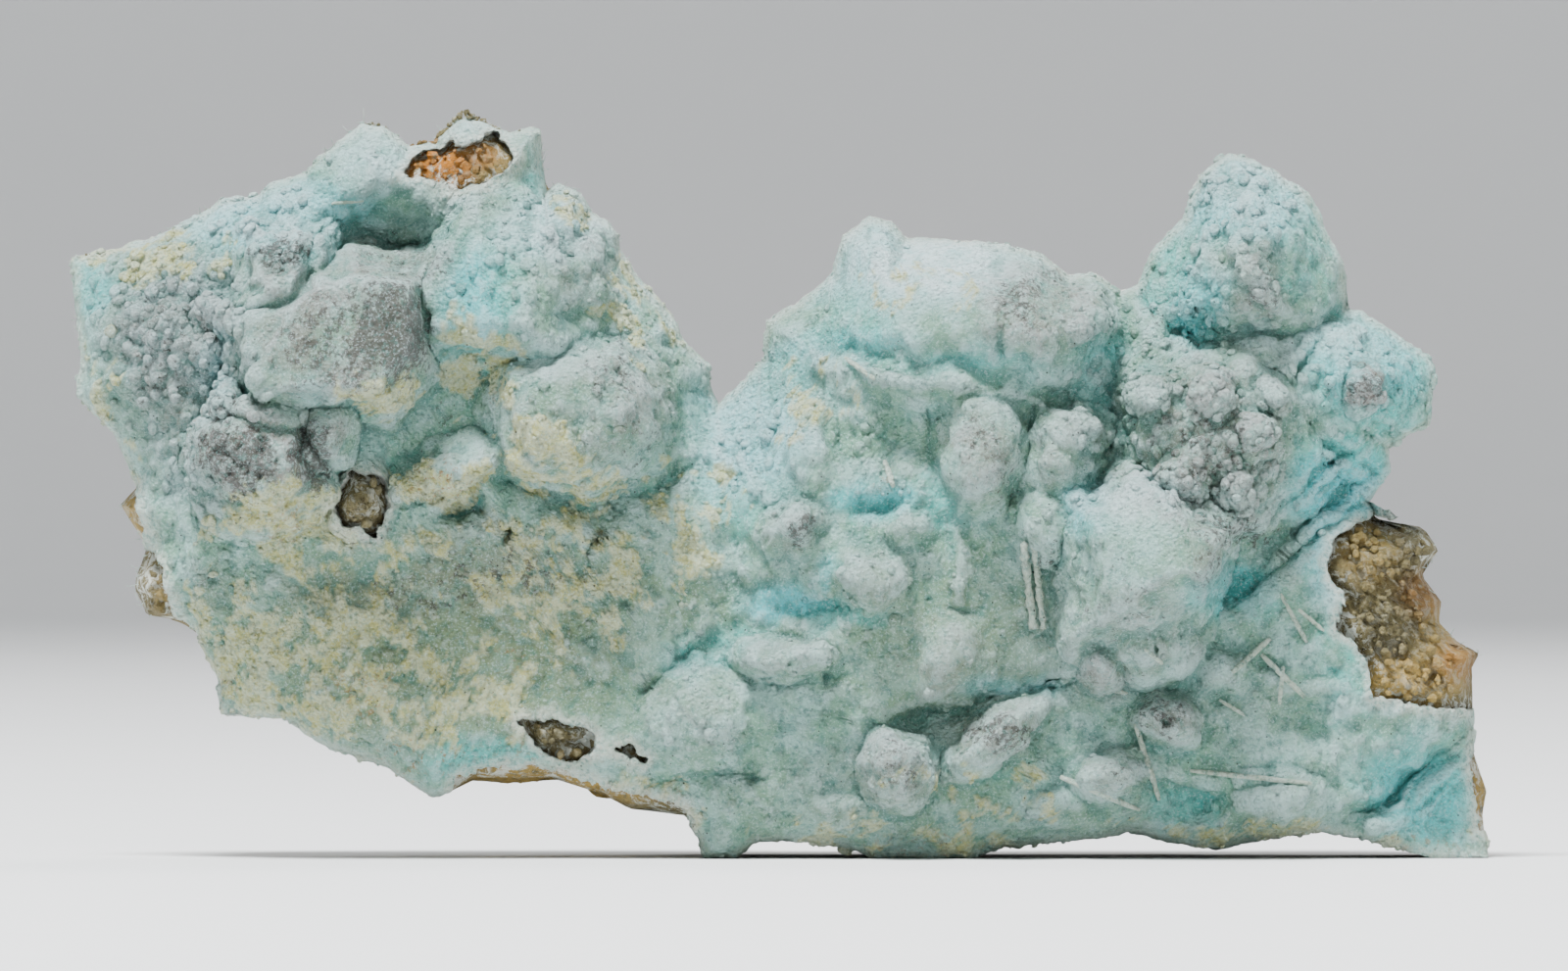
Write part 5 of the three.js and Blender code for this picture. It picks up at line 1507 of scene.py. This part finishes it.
def needle_casts(material):
    """Thin needle casts that lie scattered over the lower right of the crust, and the long open one"""
    random = np.random.default_rng(5)
    parts = []
    for start, end, width in NEEDLE_CASTS:
        path = lying_path(start, end, CAST_STEPS, CAST_SINK)
        radii = 0.6 * width * (1 - 0.35 * np.linspace(-1, 1, CAST_STEPS) ** 4)
        parts.append(tube(path, radii, 7, 0.16, random))
    start, end, width = LONG_CAST
    for side, share in ((-1, 0.42), (1, 0.36)):
        path = lying_path(start, end, LONG_CAST_STEPS, LONG_CAST_SINK)
        path[:, 0] += side * 0.42 * width + random.uniform(-0.05, 0.05, LONG_CAST_STEPS)
        radii = share * width * (0.8 + 0.2 * random.uniform(-1, 1, LONG_CAST_STEPS))
        parts.append(tube(path, radii, 8, 0.2, random))
    points, faces = joined(parts)
    attributes = {"film": np.full(len(points), 0.2), "edge": np.full(len(points), 0.8)}
    return make_piece("needle_casts", points, faces, material, attributes)


def crumb(centre, size, random):
    """A small angular grain: a cube with its corners and sides pushed about"""
    grid = np.array(list(itertools.product((-1, 0, 1), repeat=3)), dtype=float)
    grid = grid[np.abs(grid).max(axis=1) == 1]
    unit = grid / np.linalg.norm(grid, axis=1, keepdims=True)
    points = unit * (1 + CRUMB_ROUGHNESS * random.uniform(-1, 1, (len(grid), 1)))
    points *= size * random.uniform(0.6, 1, 3)
    index = {tuple(place): k for k, place in enumerate(grid.astype(int))}
    faces = []
    for axis, side in itertools.product(range(3), (-1, 1)):
        a, b = [other for other in range(3) if other != axis]
        for da, db in itertools.product((-1, 0), repeat=2):
            face = []
            for step_a, step_b in ((0, 0), (1, 0), (1, 1), (0, 1)):
                place = [0, 0, 0]
                place[axis], place[a], place[b] = side, da + step_a, db + step_b
                face.append(index[tuple(place)])
            faces.append(face if (side == 1) != (axis == 1) else face[::-1])
    return points + centre, faces


def limonite_crumbs(material):
    """Crumbs of limonite on the top edge, and grains that stand out of the broken patches"""
    random = np.random.default_rng(8)
    parts = []
    for cx, wide, high, count, largest in CRUMB_HEAPS:
        parts += crumb_heap(cx, wide, high, count, largest, random)
    parts += patch_crumbs(PATCH_CRUMBS, random)
    points, faces = joined(parts)
    centres = np.repeat([part.mean(axis=0) for part, _ in parts], [len(part) for part, _ in parts], axis=0)
    x, z = centres[:, 0], centres[:, 2]
    attributes = {
        "bare": np.full(len(points), 0.3),
        "rust": zone(x, z, RUST_ZONES),
        "ochre": zone(x, z, ROCK_OCHRE_ZONES),
        "vein": np.where(z > CRUMB_WHITE_ABOVE, 0.5, 0.0),
    }
    return make_piece("limonite_crumbs", points, faces, material, attributes, smooth=False)


def edge_fibres(material):
    """Fine white fibres at the broken edges of the crust"""
    random = np.random.default_rng(12)
    rim = np.concatenate([SMOOTHED[name][0] for name in ("top", "left", "right")])
    parts = []
    for cx, cz, wide, count, longest in FIBRE_TUFTS:
        near = rim[np.hypot(rim[:, 0] - cx, rim[:, 1] - cz) < wide]
        for x, z in near[random.integers(len(near), size=count)]:
            root = np.array([x, DEPTH_SHIFT - RIM_REACH["top"] + random.uniform(-1.0, 0.6), z - 0.1])
            way = np.array([random.normal() * 0.7, -random.uniform(0.1, 0.7), random.uniform(-0.3, 1.0)])
            way /= np.linalg.norm(way)
            bend = random.normal(size=3) * 0.35
            t = np.linspace(0, 1, FIBRE_STEPS)[:, None] * longest * random.uniform(0.4, 1)
            path = root + way * t + bend * t ** 2 / longest
            parts.append(tube(path, np.linspace(*FIBRE_RADII, FIBRE_STEPS), 4, 0, random))
    points, faces = joined(parts)
    attributes = {"white": np.ones(len(points)), "edge": np.ones(len(points))}
    return make_piece("edge_fibres", points, faces, material, attributes)


# Materials

def linear(colour):
    """A colour from sRGB values 0..255 to the linear values that nodes use"""
    shares = np.array(colour) / 255
    return (*np.where(shares <= 0.04045, shares / 12.92, ((shares + 0.055) / 1.055) ** 2.4), 1.0)


class Shading:
    """A short way to write a material's nodes. Sizes are in mm."""

    def __init__(self, name):
        self.material = bpy.data.materials.new(name)
        self.material.use_nodes = True
        self.tree = self.material.node_tree
        self.shader = self.tree.nodes["Principled BSDF"]
        self.place = self.node("ShaderNodeTexCoord").outputs["Object"]

    def node(self, kind, **settings):
        node = self.tree.nodes.new(kind)
        for key, value in settings.items():
            setattr(node, key, value)
        return node

    def feed(self, socket, value):
        if isinstance(value, bpy.types.NodeSocket):
            self.tree.links.new(value, socket)
        else:
            socket.default_value = value

    def attribute(self, name):
        return self.node("ShaderNodeAttribute", attribute_name=name).outputs["Fac"]

    def noise(self, size, detail=3.0, roughness=0.55, distortion=0.0):
        node = self.node("ShaderNodeTexNoise")
        self.feed(node.inputs["Vector"], self.place)
        node.inputs["Scale"].default_value = 1 / (size * MM)
        node.inputs["Detail"].default_value = detail
        node.inputs["Roughness"].default_value = roughness
        node.inputs["Distortion"].default_value = distortion
        return node.outputs["Fac"]

    def cells(self, size):
        node = self.node("ShaderNodeTexVoronoi")
        self.feed(node.inputs["Vector"], self.place)
        node.inputs["Scale"].default_value = 1 / (size * MM)
        return node.outputs["Distance"]

    def math(self, operation, a, b=0.0, c=0.0):
        node = self.node("ShaderNodeMath", operation=operation)
        for socket, value in zip(node.inputs, (a, b, c)):
            self.feed(socket, value)
        return node.outputs[0]

    def band(self, value, low, high, least=0.0, most=1.0):
        """A smooth step from least to most as the value goes from low to high"""
        node = self.node("ShaderNodeMapRange", interpolation_type="SMOOTHSTEP")
        for socket, number in zip(node.inputs[:5], (value, low, high, least, most)):
            self.feed(socket, number)
        return node.outputs[0]

    def mix(self, factor, a, b):
        node = self.node("ShaderNodeMix", data_type="RGBA")
        self.feed(node.inputs["Factor"], factor)
        self.feed(node.inputs["A"], a if isinstance(a, bpy.types.NodeSocket) else linear(a))
        self.feed(node.inputs["B"], b if isinstance(b, bpy.types.NodeSocket) else linear(b))
        return node.outputs["Result"]

    def bump(self, height, distance):
        node = self.node("ShaderNodeBump")
        node.inputs["Distance"].default_value = distance * MM
        self.feed(node.inputs["Height"], height)
        return node.outputs["Normal"]


def crust_material():
    s = Shading("aurichalcite_crust_look")
    patchy = s.noise(4.2, 4.0, 0.6)
    other = s.noise(2.3, 4.0, 0.6, 0.4)
    fine = s.noise(0.6, 5.0, 0.75)
    grain = s.noise(0.26, 3.0, 0.7)
    speckle = s.noise(1.0, 5.0, 0.75)
    # hollow brings painted shade, crest painted highlight, and up painted light from above
    hollow, crest, up = s.attribute("hollow"), s.attribute("crest"), s.attribute("painted_top_light")
    colour = s.mix(s.band(patchy, 0.4, 0.62), MINT, PALE_AQUA)
    colour = s.mix(s.math("MULTIPLY", s.attribute("sage"), s.band(other, 0.3, 0.6, 0.6, 1.0)), colour, SAGE)
    blue = s.math("MULTIPLY_ADD", other, 1.1, s.attribute("turquoise"))
    blue = s.math("MULTIPLY_ADD", hollow, 0.3, blue)
    colour = s.mix(s.band(blue, 0.6, 1.45, 0.0, 0.95), colour, TURQUOISE)
    colour = s.mix(s.math("MULTIPLY", s.attribute("lavender"), 0.75), colour, LAVENDER)
    sky = s.math("MULTIPLY", s.attribute("sky"), s.band(speckle, 0.3, 0.6, 0.6, 1.0))
    colour = s.mix(s.math("MULTIPLY", sky, 0.9), colour, SKY)
    # Painted light from above and painted highlights, with the crust's own white parts, mixed towards
    # SNOW_BLUE
    lit = s.math("MULTIPLY_ADD", s.band(up, 0.3, 1.0), 0.25, s.attribute("white"))
    lit = s.math("MULTIPLY", lit, s.band(other, 0.3, 0.6, 0.45, 0.9))
    # Painted highlight on crests
    lit = s.math("MULTIPLY_ADD", s.band(crest, 0.1, 0.9), 0.12, lit)
    colour = s.mix(lit, colour, SNOW_BLUE)
    smudge = s.math("MULTIPLY_ADD", s.band(crest, 0.0, 0.7), 0.3, s.attribute("grey"))
    smudge = s.math("MULTIPLY", smudge, s.band(other, 0.34, 0.6, 0.4, 1.0))
    colour = s.mix(s.math("MULTIPLY", smudge, 0.85), colour, WARM_GREY)
    # Painted shade in hollows
    colour = s.mix(s.band(hollow, 0.5, 1.1, 0.0, 0.2), colour, DEEP_TEAL)
    # Painted shade in fine creases
    colour = s.mix(s.band(s.attribute("crease"), 0.15, 0.9, 0.0, 0.45), colour, DEEP_TEAL)
    # Painted highlight on fine knobs
    colour = s.mix(s.band(s.attribute("knob_highlight"), 0.3, 1.0, 0.0, 0.25), colour, SNOW_BLUE)
    yellow = s.mix(s.band(s.noise(1.3, 3.0), 0.46, 0.6), CREAM, YELLOW_FILM)
    colour = s.mix(s.math("MULTIPLY", s.attribute("film"), 0.85), colour, yellow)
    rust = s.math("MULTIPLY", s.attribute("ochre"), s.band(s.noise(0.8, 5.0, 0.7), 0.53, 0.62))
    colour = s.mix(rust, colour, OCHRE)
    soot = s.math("MULTIPLY_ADD", s.attribute("soot"), 0.26, speckle)
    soot = s.math("MULTIPLY_ADD", fine, 0.3, soot)
    colour = s.mix(s.band(soot, 0.77, 0.9, 0.0, 0.85), colour, DIRT)
    edge = s.math("MULTIPLY", s.attribute("edge"), s.band(fine, 0.3, 0.6, 0.3, 0.9))
    colour = s.mix(edge, colour, EDGE_TONE)
    colour = s.mix(s.math("MULTIPLY", s.attribute("broken"), 0.85), colour, CHALK)
    colour = s.mix(s.band(fine, 0.36, 0.5, 0.5, 0.0), colour, DEEP_TEAL)
    pale_grains = s.mix(0.5, colour, SNOW_BLUE)
    colour = s.mix(s.band(grain, 0.52, 0.66, 0.0, 0.75), colour, pale_grains)
    specks = s.band(s.cells(1.25), 0.06, 0.1, 0.9, 0.0)
    specks = s.math("MULTIPLY", specks, s.band(s.noise(2.4, 2.0), 0.42, 0.58, 0.1, 1.0))
    colour = s.mix(specks, colour, DARK_SPECK)
    s.feed(s.shader.inputs["Base Color"], colour)
    s.feed(s.shader.inputs["Roughness"], s.band(fine, 0.3, 0.7, 0.72, 0.95))
    s.shader.inputs["Specular IOR Level"].default_value = 0.3
    s.shader.inputs["Sheen Weight"].default_value = 0.1
    s.shader.inputs["Sheen Roughness"].default_value = 0.4
    rough = s.math("MULTIPLY_ADD", grain, 0.6, fine)
    rough = s.math("MULTIPLY_ADD", s.band(s.cells(0.62), 0.0, 0.6, 1.0, 0.0), 0.5, rough)
    s.feed(s.shader.inputs["Normal"], s.bump(rough, 0.9))
    return s.material


def limonite_material():
    s = Shading("limonite_look")
    broad = s.noise(6.0, 6.0, 0.7)
    fine = s.noise(0.6, 5.0, 0.75)
    colour = s.mix(s.band(broad, 0.34, 0.66), ROCK_OLIVE, ROCK_TAN)
    colour = s.mix(s.band(fine, 0.48, 0.68), colour, ROCK_DARK)
    colour = s.mix(s.math("MULTIPLY", s.attribute("ochre"), s.band(fine, 0.35, 0.55)), colour, ROCK_OCHRE)
    orange = s.math("MULTIPLY", s.attribute("rust"), s.band(s.noise(1.1, 5.0, 0.7), 0.34, 0.5))
    colour = s.mix(orange, colour, ROCK_ORANGE)
    glints = s.band(s.noise(0.35, 3.0, 0.7), 0.55, 0.7, 0.0, 0.3)
    colour = s.mix(glints, colour, ROCK_GLINT)
    veins = s.band(s.noise(1.6, 6.0, 0.8, 0.6), 0.48, 0.57, 0.0, 0.95)
    white = s.math("MULTIPLY_ADD", s.attribute("vein"), 0.9, s.math("MULTIPLY", s.attribute("bare"), 0.22))
    colour = s.mix(s.math("MULTIPLY", white, veins), colour, ROCK_WHITE)
    s.feed(s.shader.inputs["Base Color"], colour)
    s.feed(s.shader.inputs["Roughness"], s.band(fine, 0.3, 0.7, 0.8, 1.0))
    s.shader.inputs["Specular IOR Level"].default_value = 0.25
    rough = s.math("MULTIPLY_ADD", s.noise(0.2, 2.0, 0.6), 0.5, fine)
    s.feed(s.shader.inputs["Normal"], s.bump(rough, 0.6))
    return s.material


# The setting

def floor():
    """A pale floor that rises into a round wall far away"""
    profile = [(radius, 0.0) for radius in np.linspace(0, FLOOR_FLAT, 10)]
    bend = FLOOR_RADIUS - FLOOR_FLAT
    for angle in np.linspace(0, math.pi / 2, 12)[1:]:
        profile.append((FLOOR_FLAT + bend * math.sin(angle), bend * (1 - math.cos(angle))))
    profile.append((FLOOR_RADIUS, 5.0))
    points, faces = [], []
    for radius, height in profile:
        for turn in np.linspace(0, 2 * math.pi, FLOOR_TURNS, endpoint=False):
            points.append((radius * math.cos(turn), radius * math.sin(turn), height))
    for ring in range(len(profile) - 1):
        for turn in range(FLOOR_TURNS):
            a, b = ring * FLOOR_TURNS + turn, ring * FLOOR_TURNS + (turn + 1) % FLOOR_TURNS
            faces.append((a, b, b + FLOOR_TURNS, a + FLOOR_TURNS))
    mesh = bpy.data.meshes.new("floor")
    mesh.from_pydata(points, [], faces)
    mesh.shade_smooth()
    s = Shading("floor_look")
    s.feed(s.shader.inputs["Base Color"], s.mix(s.noise(60, 3.0), *FLOOR_TONES))
    s.shader.inputs["Roughness"].default_value = 0.9
    mesh.materials.append(s.material)
    piece = bpy.data.objects.new("floor", mesh)
    bpy.context.scene.collection.objects.link(piece)


def area_light(name, place, size, power, colour):
    light = bpy.data.lights.new(name, "AREA")
    light.shape = "RECTANGLE"
    light.size, light.size_y = size
    light.energy = power
    light.color = colour
    lamp = bpy.data.objects.new(name, light)
    lamp.location = place
    lamp.rotation_euler = (Vector(LIT_PLACE) - Vector(place)).to_track_quat("-Z", "Y").to_euler()
    bpy.context.scene.collection.objects.link(lamp)


def lights():
    for name, (place, size, power, colour) in LIGHTS.items():
        area_light(name, place, size, power, colour)
    world = bpy.data.worlds.new("studio")
    world.use_nodes = True
    background = world.node_tree.nodes["Background"]
    background.inputs["Color"].default_value = WORLD_COLOUR
    background.inputs["Strength"].default_value = WORLD_STRENGTH
    bpy.context.scene.world = world


def camera():
    """A camera that stands level in front of the stone, far away, as for a close-up through a long lens"""
    data = bpy.data.cameras.new("camera")
    data.sensor_width = SENSOR_WIDTH
    data.lens = data.sensor_width * CAMERA_DISTANCE / PICTURE_WIDTH
    data.clip_end = 30
    eye = bpy.data.objects.new("camera", data)
    eye.location = (PICTURE_MIDDLE[0], -CAMERA_DISTANCE, PICTURE_MIDDLE[1])
    eye.rotation_euler = (math.pi / 2, 0, 0)
    bpy.context.scene.collection.objects.link(eye)
    bpy.context.scene.camera = eye


camera()
lights()
floor()
crust_look = crust_material()
limonite_look = limonite_material()
face = crust_face()
crust = crust_piece(face, crust_look)
crust_grains(face, crust_look)
rock = rock_piece(limonite_look)
needle_casts(crust_look)
edge_fibres(crust_look)
limonite_crumbs(limonite_look)
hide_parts("aurichalcite_crust")
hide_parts("limonite_matrix")
